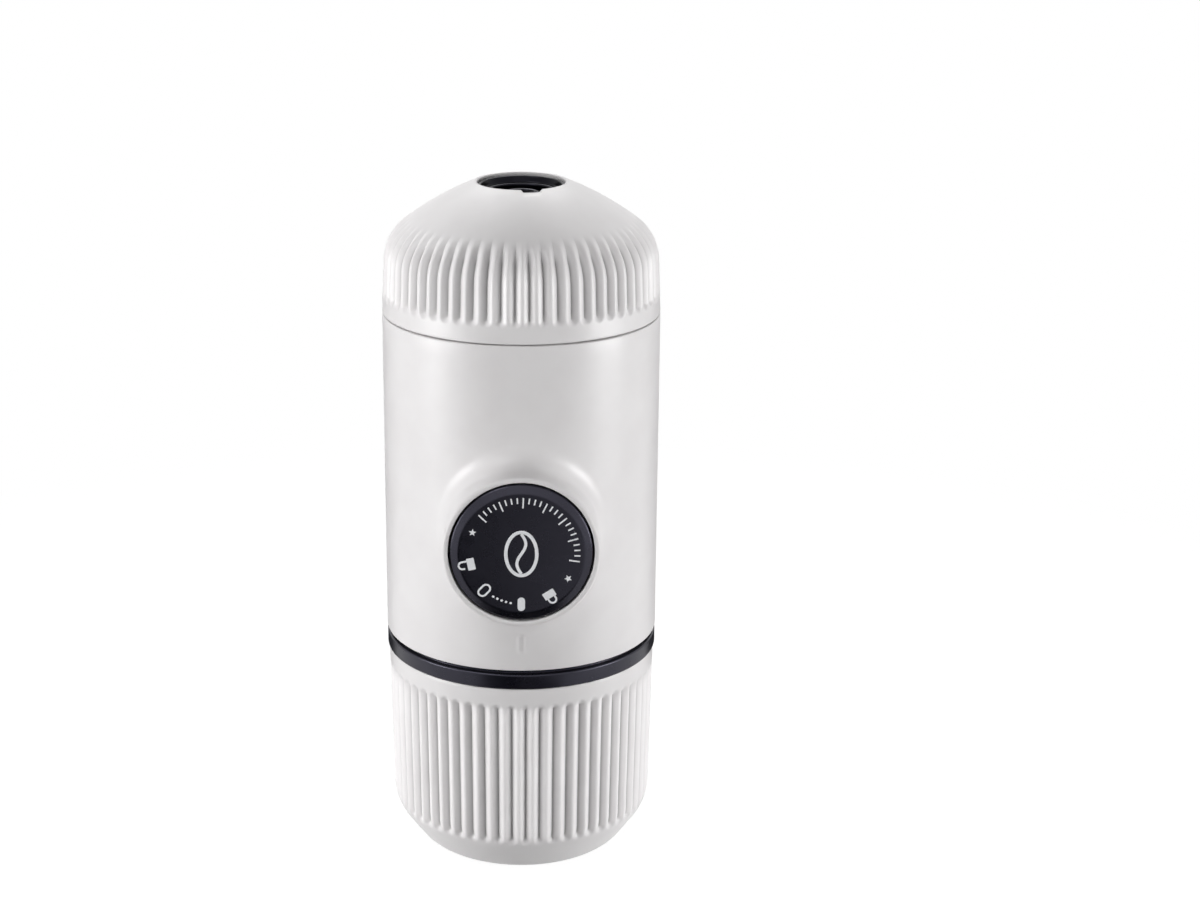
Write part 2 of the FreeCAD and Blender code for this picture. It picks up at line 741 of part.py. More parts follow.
def make_air_valve():
    """An umbrella valve that lets air into the tank as water leaves it."""
    low = roof_z - 2 * rest_gap
    bead = roof_top + rest_gap
    tip = roof_top + air_bead_height
    outline = Outline(0, low - air_cap_height).line((air_valve_radius, low - air_cap_edge))
    outline.line((air_valve_radius, low), (air_stem_radius, low), (air_stem_radius, bead))
    outline.line((air_bead_radius, bead), (air_stem_radius, tip), (0, tip))
    valve = outline.solid()
    valve.translate(Vec(-air_valve_side, air_valve_back, 0))
    return valve


def make_brew_neck():
    """The threaded neck that holds the basket, on a foot that closes the frame."""
    seat = neck_bore + basket_rim
    rim_z = basket_rim_z - basket_rim_height - rest_gap
    foot_top = neck_foot_z + deck_thickness
    outline = Outline(neck_bore, neck_foot_z).line((inner_radius, neck_foot_z))
    outline.line((inner_radius, foot_top), (neck_radius, foot_top))
    outline.line((neck_radius, basket_rim_z), (seat, basket_rim_z))
    outline.line((seat, rim_z), (neck_bore, rim_z), (neck_bore, neck_floor_z + neck_floor))
    outline.line((0, neck_floor_z + neck_floor), (0, neck_floor_z), (neck_bore, neck_floor_z))
    outlet = round_bar(seat_bore, neck_floor_z - over, screen_z, 0, duct_y)
    return outline.solid().cut([outlet] + screw_holes(neck_foot_z - over, foot_top + over))


def make_shower_screen():
    """A perforated plate on a standing rim, over the neck's floor."""
    radius = neck_bore - fit_gap
    inner = radius - screen_rim
    low = neck_floor_z + neck_floor
    high = screen_z + screen_thickness
    outline = Outline(inner, low).line((radius, low), (radius, high))
    outline.line((0, high), (0, screen_z), (inner, screen_z))
    return outline.solid().cut(screen_holes(screen_z - over, high + over))


def make_chamber_gasket():
    top = chamber_gasket_z + chamber_gasket_height
    return ring(basket_bore - basket_ledge, neck_bore - fit_gap, chamber_gasket_z, top)


def make_filter_basket():
    rim = basket_radius + basket_rim
    rim_z = basket_rim_z - basket_rim_height
    ledge = basket_bore - basket_ledge
    floor = basket_z + basket_floor
    outline = Outline(ledge, basket_z).line((basket_radius, basket_z), (basket_radius, rim_z))
    outline.line((rim, rim_z), (rim, basket_rim_z), (basket_bore, basket_rim_z))
    outline.line((basket_bore, floor), (ledge, floor))
    return outline.solid()


def make_basket_screen():
    low = basket_z + basket_floor
    disc = ring(0, basket_bore - fit_gap, low, low + filter_thickness)
    return disc.cut(screen_holes(low - over, low + filter_thickness + over))


def make_coffee_scoop():
    low = basket_z + scoop_standoff
    bore = scoop_radius - scoop_wall
    floor = low + scoop_floor
    outline = Outline(0, low).line((scoop_radius - scoop_edge, low), (scoop_radius, low + scoop_edge))
    outline.line((scoop_radius, scoop_rim_z), (bore, scoop_rim_z), (bore, floor + scoop_corner))
    outline.line((bore - scoop_corner, floor), (0, floor))
    return outline.solid()


def make_head_gasket():
    low = basket_rim_z + rest_gap
    return ring(basket_bore + run_gap, neck_radius, low, low + gasket_height)


def make_head_core():
    """The threaded inner cup of the head, with the duct to the spout."""
    skirt = neck_radius + run_gap
    lip = filter_radius - core_lip_wall
    filter_top = basket_rim_z - filter_drop
    tube = spout_bore + spout_wall
    low = head_bottom + 2 * run_gap
    outline = Outline(skirt, low).line((body_radius, low), (body_radius, ceiling_top))
    outline.line((tube, ceiling_top), (tube, spout_z), (spout_bore, spout_z), (spout_bore, ceiling_z))
    outline.line((lip, ceiling_z), (lip, filter_top), (filter_radius, filter_top))
    outline.line((filter_radius, ceiling_z), (skirt, ceiling_z))
    room = head_form(shell_wall + fit_gap, head_bottom, outlet_radius, hidden_chords)
    return outline.solid().common(room)


def make_outlet_filter():
    top = basket_rim_z - filter_drop
    disc = ring(0, filter_radius, top - filter_thickness, top)
    return disc.cut(screen_holes(top - filter_thickness - over, top + over))


def make_outlet_spout():
    """The insert in the outlet: a dished ring with a spout in its middle, joined by ribs."""
    outer = outlet_radius - fit_gap
    inner = outer - spout_wall
    tube = spout_bore + spout_wall
    floor = spout_z + spout_floor
    lip_z = spout_top - spout_lip_drop
    outline = Outline(spout_bore, spout_z).line((outer, spout_z), (outer, spout_top))
    outline.line((inner, spout_top), (inner, floor), (tube, floor), (tube, lip_z), (spout_bore, lip_z))
    rib = block(Vec(tube - spout_wall / 2, -spout_rib / 2, floor - spout_floor / 2),
                Vec(inner + spout_wall / 2, spout_rib / 2, spout_top - spout_rib_drop))
    return outline.solid().fuse(around(rib, spout_ribs))


def make_water_tank():
    shoulder_z = ring_z - shoulder_drop
    ring_top = body_z - ring_recess_height
    ring_bottom = ring_z + rest_gap
    outside = cup_form(tank_inset, ring_bottom, hidden_chords)[0]
    face = body_radius - ring_inset
    step = body_radius - ring_recess_depth
    flange_top = body_z - rest_gap
    flange = Outline(0, ring_bottom).line((face, ring_bottom), (face, ring_top), (step, ring_top))
    flange.line((step, flange_top), (tank_neck_radius, flange_top))
    flange.line((tank_neck_radius, tank_neck_top), (0, tank_neck_top))
    inset = tank_inset + tank_wall
    corner_z = cup_form(0, cup_height)[1]
    side = cup_wall_radius - inset
    neck_z = shoulder_z + side - tank_neck_bore
    mouth_z = tank_neck_top + over
    inside = Outline(0, inset).line((cup_foot_radius, inset), (side, corner_z), (side, shoulder_z))
    inside.line((tank_neck_bore, neck_z), (tank_neck_bore, mouth_z), (0, mouth_z))
    seal_z = ring_z - seal_drop - seal_width
    seal_radius = tank_side(seal_z)
    groove = ring(seal_radius - seal_depth, body_radius, seal_z, seal_z + seal_width)
    return outside.fuse(flange.solid()).cut([inside.solid(), groove])


def tank_side(height):
    corner_z = cup_form(0, cup_height)[1]
    return cup_wall_radius - tank_inset + (height - corner_z) / (cup_height - corner_z) * cup_taper


def make_cup_seal():
    """The ring that grips the cup, in a groove of the tank."""
    low = ring_z - seal_drop - seal_width + fit_gap
    high = low + seal_width - 2 * fit_gap
    inner = tank_side(low - fit_gap) - seal_depth + fit_gap
    outer = tank_side(low) + tank_gap - ring_gap
    bulge = (high - low) / 3
    outline = Outline(inner, low).line((outer - bulge, low), (outer, low + bulge), (outer, high - bulge))
    outline.line((outer - bulge, high), (inner, high))
    return outline.solid()


def make_tank_gasket():
    low = tank_neck_top + rest_gap
    return ring(tank_neck_bore, tank_neck_radius, low, low + tank_gasket_height)


def pieces():
    intake, outlet = valve_levels()
    return {
        "cup": make_cup(),
        "water_tank": make_water_tank(),
        "cup_seal": make_cup_seal(),
        "tank_gasket": make_tank_gasket(),
        "tank_socket": make_tank_socket(),
        "intake_strainer": make_intake_strainer(),
        "air_valve": make_air_valve(),
        "body_shell": make_body_shell(),
        "core_frame": make_core_frame(),
        "frame_screws": make_frame_screws(),
        "pump_block": make_pump_block(),
        "intake_valve": poppet(intake),
        "outlet_valve": poppet(outlet),
        "outlet_spring": make_outlet_spring(),
        "relief_ball": make_relief_ball(),
        "relief_spring": make_relief_spring(),
        "relief_cap": make_relief_cap(),
        "piston_guide": make_piston_guide(),
        "rod_bush": make_rod_bush(),
        "piston_rod": make_piston_rod(),
        "piston_head": make_piston_head(),
        "piston_rings": make_piston_rings(),
        "return_spring": make_return_spring(),
        "piston_knob": make_piston_knob(),
        "knob_pins": make_knob_pins(),
        "brew_neck": make_brew_neck(),
        "shower_screen": make_shower_screen(),
        "chamber_gasket": make_chamber_gasket(),
        "filter_basket": make_filter_basket(),
        "basket_screen": make_basket_screen(),
        "coffee_scoop": make_coffee_scoop(),
        "head_gasket": make_head_gasket(),
        "head_core": make_head_core(),
        "outlet_filter": make_outlet_filter(),
        "outlet_spout": make_outlet_spout(),
        "head_shell": make_head_shell(),
    }


os.makedirs("parts", exist_ok=True)
for name, shape in pieces().items():
    shape.exportStep(os.path.join("parts", name + ".step"))
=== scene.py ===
"""Looks of a handheld manual espresso maker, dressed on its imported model.

The frame is the model's own: the origin is the centre of the cup's flat base, +Z runs up the body's
axis and the piston knob faces -Y. Sizes below are in millimetres and become metres in add_piece().
"""

import json
from math import acos, asin, atan2, cos, degrees, pi, radians, sin, sqrt, tan, tau

import bmesh
import bpy
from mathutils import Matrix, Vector


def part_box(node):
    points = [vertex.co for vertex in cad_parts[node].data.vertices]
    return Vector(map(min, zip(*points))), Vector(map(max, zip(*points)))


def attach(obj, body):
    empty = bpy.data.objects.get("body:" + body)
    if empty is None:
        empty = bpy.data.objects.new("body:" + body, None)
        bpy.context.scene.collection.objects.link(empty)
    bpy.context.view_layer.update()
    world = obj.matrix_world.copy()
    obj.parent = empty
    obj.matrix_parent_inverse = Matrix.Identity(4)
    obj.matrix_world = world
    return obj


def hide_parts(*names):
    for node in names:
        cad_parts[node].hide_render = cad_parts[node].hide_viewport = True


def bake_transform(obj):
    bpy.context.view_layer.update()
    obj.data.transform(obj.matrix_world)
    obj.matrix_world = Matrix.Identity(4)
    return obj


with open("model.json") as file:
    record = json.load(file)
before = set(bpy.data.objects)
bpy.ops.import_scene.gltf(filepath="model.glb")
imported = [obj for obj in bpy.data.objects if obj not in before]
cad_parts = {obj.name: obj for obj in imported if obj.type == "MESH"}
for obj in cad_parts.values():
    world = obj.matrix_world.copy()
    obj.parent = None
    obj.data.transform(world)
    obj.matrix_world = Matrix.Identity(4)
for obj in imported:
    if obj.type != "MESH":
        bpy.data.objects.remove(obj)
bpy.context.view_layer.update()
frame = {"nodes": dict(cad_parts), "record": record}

MM = 0.001


def low(node):
    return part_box(node)[0] / MM


def high(node):
    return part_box(node)[1] / MM


def extent(node):
    """Foot, top and radius of an upright round node."""
    return low(node).z, high(node).z, high(node).x


# ---- levels and sizes read from the frame ----
RING_Z = high("cup").z
BODY_Z = low("body_shell").z
SHELL_TOP = high("body_shell").z
HEAD_BOTTOM = low("head_shell").z
TOP_Z = high("head_shell").z
HEAD_Z = (SHELL_TOP + HEAD_BOTTOM) / 2
BODY_RADIUS = high("body_shell").x
KNOB_Z = (low("piston_rod").z + high("piston_rod").z) / 2
KNOB_RADIUS = high("piston_knob").x
KNOB_FACE_Y = low("piston_knob").y
HUB_END_Y = high("piston_knob").y
COLLAR_Y = low("body_shell").y
INNER_RADIUS = high("tank_socket").x
NECK_BORE = high("chamber_gasket").x + 0.05
DUCT_Y = (low("outlet_valve").y + high("outlet_valve").y) / 2

# ---- shells ----
SHELL_WALL = 2.0
CUP_WALL = 1.8
EDGE = 0.3  # rounding of moulded edges

CUP_FOOT_RADIUS = 19.45
CUP_FOOT_ROUND = 6.6
CUP_CORNER_ROUND = 10.1
CUP_SLOPE = 54.0  # degrees
CUP_RIM_STEP = 0.4
CUP_TAPER = 0.6
CUP_WALL_RADIUS = BODY_RADIUS - CUP_RIM_STEP - CUP_TAPER

HEAD_SIDE_HEIGHT = 12.0
HEAD_TAPER = 0.5
SHOULDER_ROUND = 10.4
SHOULDER_END = 53.0  # degrees
OUTLET_RADIUS = 9.7
OUTLET_RIM = 0.5
OUTLET_COLLAR_WALL = 1.5
OUTLET_COLLAR_DEPTH = 8.0
THROAT_RADIUS = 26.15  # of the body's upper opening
NOTCH_SIDE = 2.2  # middle of the nick in the outlet's rim
NOTCH_WIDTH = 4.4
NOTCH_DEPTH = 0.75

CUP_FLUTES = (60, -1.1)  # how many, and the first ridge's place in degrees from the front
HEAD_FLUTES = (62, 0.4)
FLUTE_DEPTH = 1.0
FLUTE_CROWN = 0.3  # rounding of the ridge, as a share of its half width
# Painted light and shade on the flutes: the two ridge values paint highlights on the ridges of cup and head,
# the groove value paints shade in the grooves.
CUP_RIDGE_PAINTED_LIGHT = 0.2  # painted highlight: how much lighter the cup's ridge tops are painted
HEAD_RIDGE_PAINTED_LIGHT = 0.06
GROOVE_PAINTED_SHADE = 0.42  # painted shade: how much darker the grooves' floors are painted
FLUTE_SHARES = (0.055, 0.135, 0.24, 0.363, 0.505, 0.665, 0.826)  # of half a flute, from the groove's middle
FLUTE_COLUMNS = (*(-share for share in reversed(FLUTE_SHARES)), 0.0, *FLUTE_SHARES, 1.0)
CUP_FLUTE_TOP = 5.3  # where the round ends begin, below the cup's rim
CUP_FLUTE_TURN = 15.0  # degrees round the cup's corner
HEAD_FLUTE_START = 5.1  # above the head's lower edge
HEAD_FLUTE_FADE = (30.0, 68.0)  # degrees round the shoulder over which the flutes run out

COLLAR_BORE = KNOB_RADIUS + 0.2
COLLAR_RADIUS = COLLAR_BORE + 1.2
COLLAR_BLEND = 5.0
COLLAR_EDGE = 0.6
MARK_DROP = 24.5  # the index mark's middle below the knob's
MARK_LENGTH = 5.2
MARK_WIDTH = 2.6
MARK_DEPTH = 0.32

# ---- knob ----
PRINT_HEIGHT = 0.03  # the print stands this far off the knob's face
KNOB_BEVEL = 2.0
KNOB_BEVEL_DEPTH = 0.8
KNOB_BACK_Y = -18.0
KNOB_SKIRT_WALL = 1.6
KNOB_PLATE = 2.5
HUB_RADIUS = 7.0
ROD_BORE = 4.55
LUG_RADIUS = 9.0
LUG_LENGTH = 3.6
LUG_ANGLE = 30.0  # degrees

# ---- threads ----
THREAD_TURNS = 1.75
THREAD_PITCH = 4.0
THREAD_WIDTH = 1.5
THREAD_FADE = 0.12  # share of its length over which it runs out at each end


# ---- outlines ----
def arc(centre, radius, start, end, count):
    """Points on an arc in the (radius, height) half-plane, from one angle in degrees to another."""
    turns = [radians(start + (end - start) * step / count) for step in range(count + 1)]
    return [(centre[0] + radius * cos(turn), centre[1] + radius * sin(turn)) for turn in turns]


def straight(start, end, step):
    """Points from start towards end, without end, at most step apart."""
    (r0, z0), (r1, z1) = start, end
    count = max(1, round(sqrt((r1 - r0) ** 2 + (z1 - z0) ** 2) / step))
    return [(r0 + (r1 - r0) * k / count, z0 + (z1 - z0) * k / count) for k in range(count)]


def rounded(corners, steps=4):
    """A closed outline through corners (radius, height, round), with an arc at each round corner."""
    points = []
    for place, (radius, height, turn) in enumerate(corners):
        here = Vector((radius, height))
        if not turn:
            points.append((radius, height))
            continue
        back = Vector(corners[place - 1][:2]) - here
        on = Vector(corners[(place + 1) % len(corners)][:2]) - here
        half = back.angle(on) / 2
        reach = min(turn / tan(half), 0.48 * min(back.length, on.length))
        start = here + back.normalized() * reach
        end = here + on.normalized() * reach
        towards = (back.normalized() + on.normalized()).normalized()
        centre = here + towards * reach / cos(half)
        for step in range(steps + 1):
            arm = (start - centre).slerp(end - centre, step / steps).normalized()
            points.append(tuple(centre + arm * reach * tan(half)))
    return points


def smooth(value, start, end):
    """Rises from 0 at start to 1 at end, with level ends."""
    share = min(max((value - start) / (end - start), 0.0), 1.0)
    return share * share * (3 - 2 * share)


# ---- meshes ----
def even(count):
    return [tau * column / count for column in range(count)]


def fluted_angles(flutes):
    count, first = flutes
    half = pi / count
    return [radians(first) + (2 * flute + 1 + share) * half
            for flute in range(count) for share in FLUTE_COLUMNS]


def about(x, y):
    """Points about an upright axis at (x, y); angle 0 is the front."""
    return lambda radius, angle, height: (x + radius * sin(angle), y - radius * cos(angle), height)


upright = about(0.0, 0.0)


def lying(radius, angle, place):
    """A point about the knob's axis, at a place along Y."""
    return (radius * sin(angle), place, KNOB_Z + radius * cos(angle))


def between(start, end, share):
    return start[0] + (end[0] - start[0]) * share, start[1] + (end[1] - start[1]) * share


def put(verts, points):
    """Adds points to verts and returns their places in it."""
    first = len(verts)
    verts += points
    return range(first, len(verts))


def bridge(faces, below, above):
    """Faces between two rings of vertices; a ring of one vertex is a pole."""
    for column in range(max(len(below), len(above))):
        after = column + 1
        corners = (below[column % len(below)], below[after % len(below)],
                   above[after % len(above)], above[column % len(above)])
        face = tuple(dict.fromkeys(corners))
        if len(face) > 2:
            faces.append(face)


def skin(rings, ends):
    """The mesh over rings of points, whose ends are poles, joined to each other or capped."""
    verts, faces = [], []
    rows = [put(verts, ring) for ring in rings]
    for below, above in zip(rows, rows[1:]):
        bridge(faces, below, above)
    if ends == "joined":
        bridge(faces, rows[-1], rows[0])
    elif ends == "capped":
        faces += [tuple(rows[0]), tuple(reversed(rows[-1]))]
    return verts, faces


def lathe(outline, angles, place=upright, shape=None):
    """The mesh of an outline turned about an axis. Points on the axis become poles."""
    rings = []
    for radius, height in outline:
        ring = []
        for angle in angles if radius > 0 else [0.0]:
            out, up = shape(radius, height, angle) if shape else (radius, height)
            ring.append(place(out, angle, up))
        rings.append(ring)
    return skin(rings, "joined" if len(rings[0]) > 1 else "poles")


def coil(axis, radius, start, pitch, turns, section, per_turn=48):
    """A closed bar along a helix. section(share) gives its outline as (outward, up) offsets."""
    steps = round(turns * per_turn)
    rings = []
    for step in range(steps + 1):
        angle = tau * step / per_turn
        height = start + pitch * step / per_turn
        rings.append([axis(radius + out, angle, height + up) for out, up in section(step / steps)])
    return skin(rings, "capped")


def wire(radius, sides=10):
    ring = [(radius * cos(turn), radius * sin(turn)) for turn in even(sides)]
    return lambda share: ring


def thread(height):
    """Section of a thread of that height, which runs out at both ends."""
    def section(share):
        full = smooth(share, 0, THREAD_FADE) * (1 - smooth(share, 1 - THREAD_FADE, 1))
        top = height * (full * 1.15 - 0.15)
        sunk = -height * 0.4
        half, crest = THREAD_WIDTH / 2, THREAD_WIDTH / 4
        edge = crest + 0.12
        return [(sunk, -half), (top * 0.8, -edge), (top, -crest), (top, crest), (top * 0.8, edge),
                (sunk, half)]
    return section


def joined(*parts):
    verts, faces = [], []
    for some_verts, some_faces in parts:
        first = len(verts)
        verts += some_verts
        faces += [tuple(first + index for index in face) for face in some_faces]
    return verts, faces


def link(thing):
    bpy.context.scene.collection.objects.link(thing)
    return thing


def add_piece(name, mesh_parts, body, slot, replaces=(), sharp=40.0, weighted=True):
    """A piece of the object from verts in millimetres; a spring is given no body."""
    verts, faces = mesh_parts
    mesh = bpy.data.meshes.new(name)
    mesh.from_pydata([Vector(vert) * MM for vert in verts], [], faces)
    work = bmesh.new()
    work.from_mesh(mesh)
    bmesh.ops.recalc_face_normals(work, faces=work.faces)
    work.to_mesh(mesh)
    work.free()
    mesh.polygons.foreach_set("use_smooth", [True] * len(mesh.polygons))
    mesh.set_sharp_from_angle(angle=radians(sharp))
    mesh.materials.append(MATERIALS[slot])
    thing = link(bpy.data.objects.new(name, mesh))
    if weighted:
        normals = thing.modifiers.new("Normals", "WEIGHTED_NORMAL")
        normals.keep_sharp = True
    if body:
        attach(thing, body)
    if replaces:
        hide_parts(*replaces)
    return thing


# ---- materials ----
def add_node(tree, kind, inputs=None, **values):
    """A new node's outputs; its inputs are set to constants or linked to the outputs of others."""
    node = tree.nodes.new(kind)
    for key, value in values.items():
        setattr(node, key, value)
    for socket, value in (inputs or {}).items():
        if isinstance(value, bpy.types.NodeSocket):
            tree.links.new(value, node.inputs[socket])
        else:
            node.inputs[socket].default_value = value
    return node.outputs


def new_material(name, values):
    """A material, its node tree and the inputs of its Principled shader, set to values."""
    material = bpy.data.materials.new(name)
    material.use_nodes = True
    shader = material.node_tree.nodes["Principled BSDF"]
    for socket, value in values.items():
        shader.inputs[socket].default_value = value
    return material, material.node_tree, shader


class Look:
    """A Principled material whose noise runs in the piece's own coordinates."""

    def __init__(self, name, values):
        self.material, self.tree, self.shader = new_material(name, values)
        self.place = self.node("ShaderNodeTexCoord")["Object"]

    def node(self, kind, inputs=None, **values):
        return add_node(self.tree, kind, inputs, **values)

    def feed(self, socket, output):
        self.tree.links.new(output, self.shader.inputs[socket])

    def noise(self, size, detail=3.0, rough=0.5, stretch=(1, 1, 1)):
        """Noise whose features are about size millimetres across; a stretch below 1 draws it out."""
        place = self.node("ShaderNodeMapping", {"Vector": self.place, "Scale": stretch})["Vector"]
        return self.node("ShaderNodeTexNoise", {"Vector": place, "Scale": 1 / (size * MM),
                                                "Detail": detail, "Roughness": rough})["Fac"]

    def colours(self, source, dark, light, start=0.35, end=0.65):
        ramp = self.tree.nodes.new("ShaderNodeValToRGB")
        for stop, place, colour in zip(ramp.color_ramp.elements, (start, end), (dark, light)):
            stop.position = place
            stop.color = (*colour, 1)
        self.tree.links.new(source, ramp.inputs["Fac"])
        self.feed("Base Color", ramp.outputs["Color"])

    def paint_light_and_shade(self, attribute):
        """Paints light and shade into the colour: lightens or darkens it by the share that the mesh stores
        in an attribute.
        """
        stored = self.node("ShaderNodeAttribute", attribute_name=attribute)["Fac"]
        factor = self.node("ShaderNodeMath", {0: stored, 1: 1.0}, operation="ADD")["Value"]
        plain = self.shader.inputs["Base Color"].links[0].from_socket
        scaled = self.node("ShaderNodeVectorMath", {"Vector": plain, "Scale": factor}, operation="SCALE")
        self.feed("Base Color", scaled["Vector"])

    def roughness(self, source, least, most):
        """The middle part of a texture, mapped to a range of roughness."""
        self.feed("Roughness", self.node("ShaderNodeMapRange", {
            "Value": source, "From Min": 0.3, "From Max": 0.7, "To Min": least, "To Max": most})["Result"])

    def bump(self, *layers):
        """Bumps of (source, height in millimetres), one on top of the other."""
        inputs = {"Strength": 1.0}
        for source, height in layers:
            inputs["Height"] = source
            inputs["Distance"] = height * MM
            inputs["Normal"] = self.node("ShaderNodeBump", inputs)["Normal"]
        self.feed("Normal", inputs["Normal"])


def plastic(level, ior=1.5, **more):
    return {"IOR": ior, "Specular IOR Level": level, **more}


def cool_plastic(level):
    return plastic(level) | {"Specular Tint": (0.8, 0.78, 1.0, 1.0)}


# Each look: shader values; noise, dark and light colour; noise, least and most roughness; bumps.
LOOKS = {
    # satin white moulding with a fine eroded grain and a faint unevenness of gloss
    "white_shell": (plastic(0.5), ((9.0, 2.0), (0.80, 0.782, 0.786), (0.825, 0.81, 0.813)),
                    ((5.0, 4.0), 0.34, 0.42), ((0.22, 2.0), 0.004), ((14.0, 1.0), 0.02)),
    # fine-grained blue-black moulding
    "black_knob": (cool_plastic(0.55), ((6.0, 3.0), (0.003, 0.003, 0.005), (0.005, 0.005, 0.0075)),
                   ((3.0, 4.0), 0.25, 0.32), ((0.2, 2.0), 0.004), ((10.0, 1.0), 0.01)),
    # satin blue-black moulding of the tank
    "black_tank": (cool_plastic(0.5), ((8.0, 3.0), (0.002, 0.002, 0.004), (0.004, 0.004, 0.0065)),
                   ((4.0, 4.0), 0.26, 0.34), ((0.25, 2.0), 0.004), ((12.0, 1.0), 0.015)),
    # polished black of the outlet insert, with faint flow lines and dust
    "gloss_black": (cool_plastic(0.16),
                    ((2.0, 5.0), (0.001, 0.001, 0.0015), (0.003, 0.003, 0.004), 0.4, 0.8),
                    ((1.2, 5.0), 0.1, 0.2), ((3.0, 1.0), 0.01), ((0.3, 2.0), 0.001)),
    "inner_plastic": (plastic(0.4), ((4.0, 5.0), (0.022, 0.022, 0.026), (0.034, 0.034, 0.038)),
                      ((2.0, 4.0), 0.42, 0.58), ((0.35, 3.0), 0.012), ((9.0, 1.0), 0.02)),
    # fibre-filled grey moulding: mottled, with short pale fibres that lie along the flow
    "grey_plastic": (plastic(0.4),
                     ((0.5, 4.0, 0.6, (1, 1, 0.15)), (0.16, 0.165, 0.175), (0.24, 0.245, 0.255)),
                     ((1.5, 4.0), 0.45, 0.65), ((0.4, 3.0, 0.6, (1, 1, 0.2)), 0.01), ((8.0, 1.0), 0.03)),
    # soft grey rubber with a dusty bloom
    "silicone": (plastic(0.35, 1.42) | {"Sheen Weight": 0.25, "Sheen Roughness": 0.5,
                                        "Subsurface Weight": 0.12, "Subsurface Scale": 0.001},
                 ((1.5, 5.0), (0.30, 0.30, 0.295), (0.40, 0.40, 0.39)),
                 ((0.8, 4.0), 0.5, 0.72), ((0.3, 3.0), 0.008)),
    # stainless steel with fine scratches along the grain
    "steel": ({"Metallic": 1.0, "Anisotropic": 0.4},
              ((0.6, 5.0, 0.6, (1, 0.06, 1)), (0.46, 0.46, 0.47), (0.62, 0.62, 0.63)),
              ((0.3, 5.0, 0.6, (1, 0.05, 1)), 0.2, 0.38), ((0.12, 3.0, 0.6, (1, 0.04, 1)), 0.002)),
    # turned brass: tool rings and a little tarnish
    "brass": ({"Metallic": 1.0}, ((1.5, 5.0, 0.6), (0.42, 0.28, 0.11), (0.62, 0.45, 0.2)),
              ((0.8, 4.0, 0.6), 0.22, 0.42), ((0.15, 3.0, 0.5, (0.08, 1, 0.08)), 0.003)),
    # pad print: off-white ink with a slightly uneven film
    "white_ink": (plastic(0.3, 1.45), ((0.25, 4.0), (0.86, 0.87, 0.90), (0.93, 0.94, 0.96)),
                  ((0.3, 3.0), 0.45, 0.65), ((0.12, 3.0), 0.004)),
}


def make_material(name):
    values, tint, gloss, *bumps = LOOKS[name]
    look = Look(name, values)
    look.colours(look.noise(*tint[0]), *tint[1:])
    # the white shell's flutes get painted highlights on their ridges and painted shade in their grooves
    if name == "white_shell":
        look.paint_light_and_shade("shade")
    look.roughness(look.noise(*gloss[0]), *gloss[1:])
    look.bump(*[(look.noise(*noise), height) for noise, height in bumps])
    return look.material


MATERIALS = {name: make_material(name) for name in LOOKS}


# ---- cup ----
def flute_depth(flutes, angle, radius, beyond):
    """How far the ridged surface lies inside the plain form, at a distance beyond the grooves' ends."""
    count, first = flutes
    pitch = tau / count
    angle -= radians(first)
    half = pitch * radius / 2
    across = abs((angle / pitch) % 1.0 - 0.5) * 2 * half
    from_top = 1 - min(sqrt(across * across + max(beyond, 0) ** 2) / half, 1)
    full = sqrt(1 + FLUTE_CROWN ** 2) - FLUTE_CROWN
    return FLUTE_DEPTH * (sqrt(from_top * from_top + FLUTE_CROWN ** 2) - FLUTE_CROWN) / full


def flute_painted_shade(light, depth, share):
    """The painted highlight and painted shade of the white at a depth, where the grooves have a share of
    theirs: above 0 it is painted lighter, below 0 darker.
    """
    return share * (light - (light + GROOVE_PAINTED_SHADE) * (depth / FLUTE_DEPTH) ** 3)


# Keeps each vertex's painted highlight or painted shade in the mesh's shade attribute.
def store_painted_shade(thing, shade):
    layer = thing.data.attributes.new("shade", "FLOAT", "POINT")
    layer.data.foreach_set("value", shade)


def soft_edge(inner, outer, height, away):
    """The rounded end of a wall between two radii; away is EDGE, with the sign of its way back."""
    return [(inner + EDGE * 0.3, height + away * 0.3), (inner + EDGE, height),
            (outer - EDGE, height), (outer - EDGE * 0.3, height + away * 0.3)]


def cup_profile(inset, top):
    """The cup's side from its rim at the height top down to its base, moved in by inset."""
    slope = radians(CUP_SLOPE)
    foot_end = CUP_FOOT_RADIUS + CUP_FOOT_ROUND * sin(slope)
    cone_end = CUP_WALL_RADIUS - CUP_CORNER_ROUND * (1 - sin(slope))
    cone_rise = (cone_end - foot_end) * tan(slope)
    corner_z = CUP_FOOT_ROUND * (1 - cos(slope)) + cone_rise + CUP_CORNER_ROUND * cos(slope)
    corner = (CUP_WALL_RADIUS - CUP_CORNER_ROUND, corner_z)
    foot = (CUP_FOOT_RADIUS, CUP_FOOT_ROUND)

    def at(height):
        return CUP_WALL_RADIUS - inset + CUP_TAPER * (height - corner_z) / (RING_Z - corner_z), height

    flute_top = RING_Z - CUP_FLUTE_TOP
    side = straight(at(top), at(flute_top + 2.0), 0.8) + straight(at(flute_top + 2.0), at(flute_top), 0.25)
    side += straight(at(flute_top), at(corner_z), 2.0)
    side += arc(corner, CUP_CORNER_ROUND - inset, 0, CUP_SLOPE - 90, 18)
    side += straight(side[-1], (foot[0] + (CUP_FOOT_ROUND - inset) * sin(slope),
                                foot[1] - (CUP_FOOT_ROUND - inset) * cos(slope)), 0.8)[1:]
    side += arc(foot, CUP_FOOT_ROUND - inset, CUP_SLOPE - 90, -90, 10)
    return side, corner


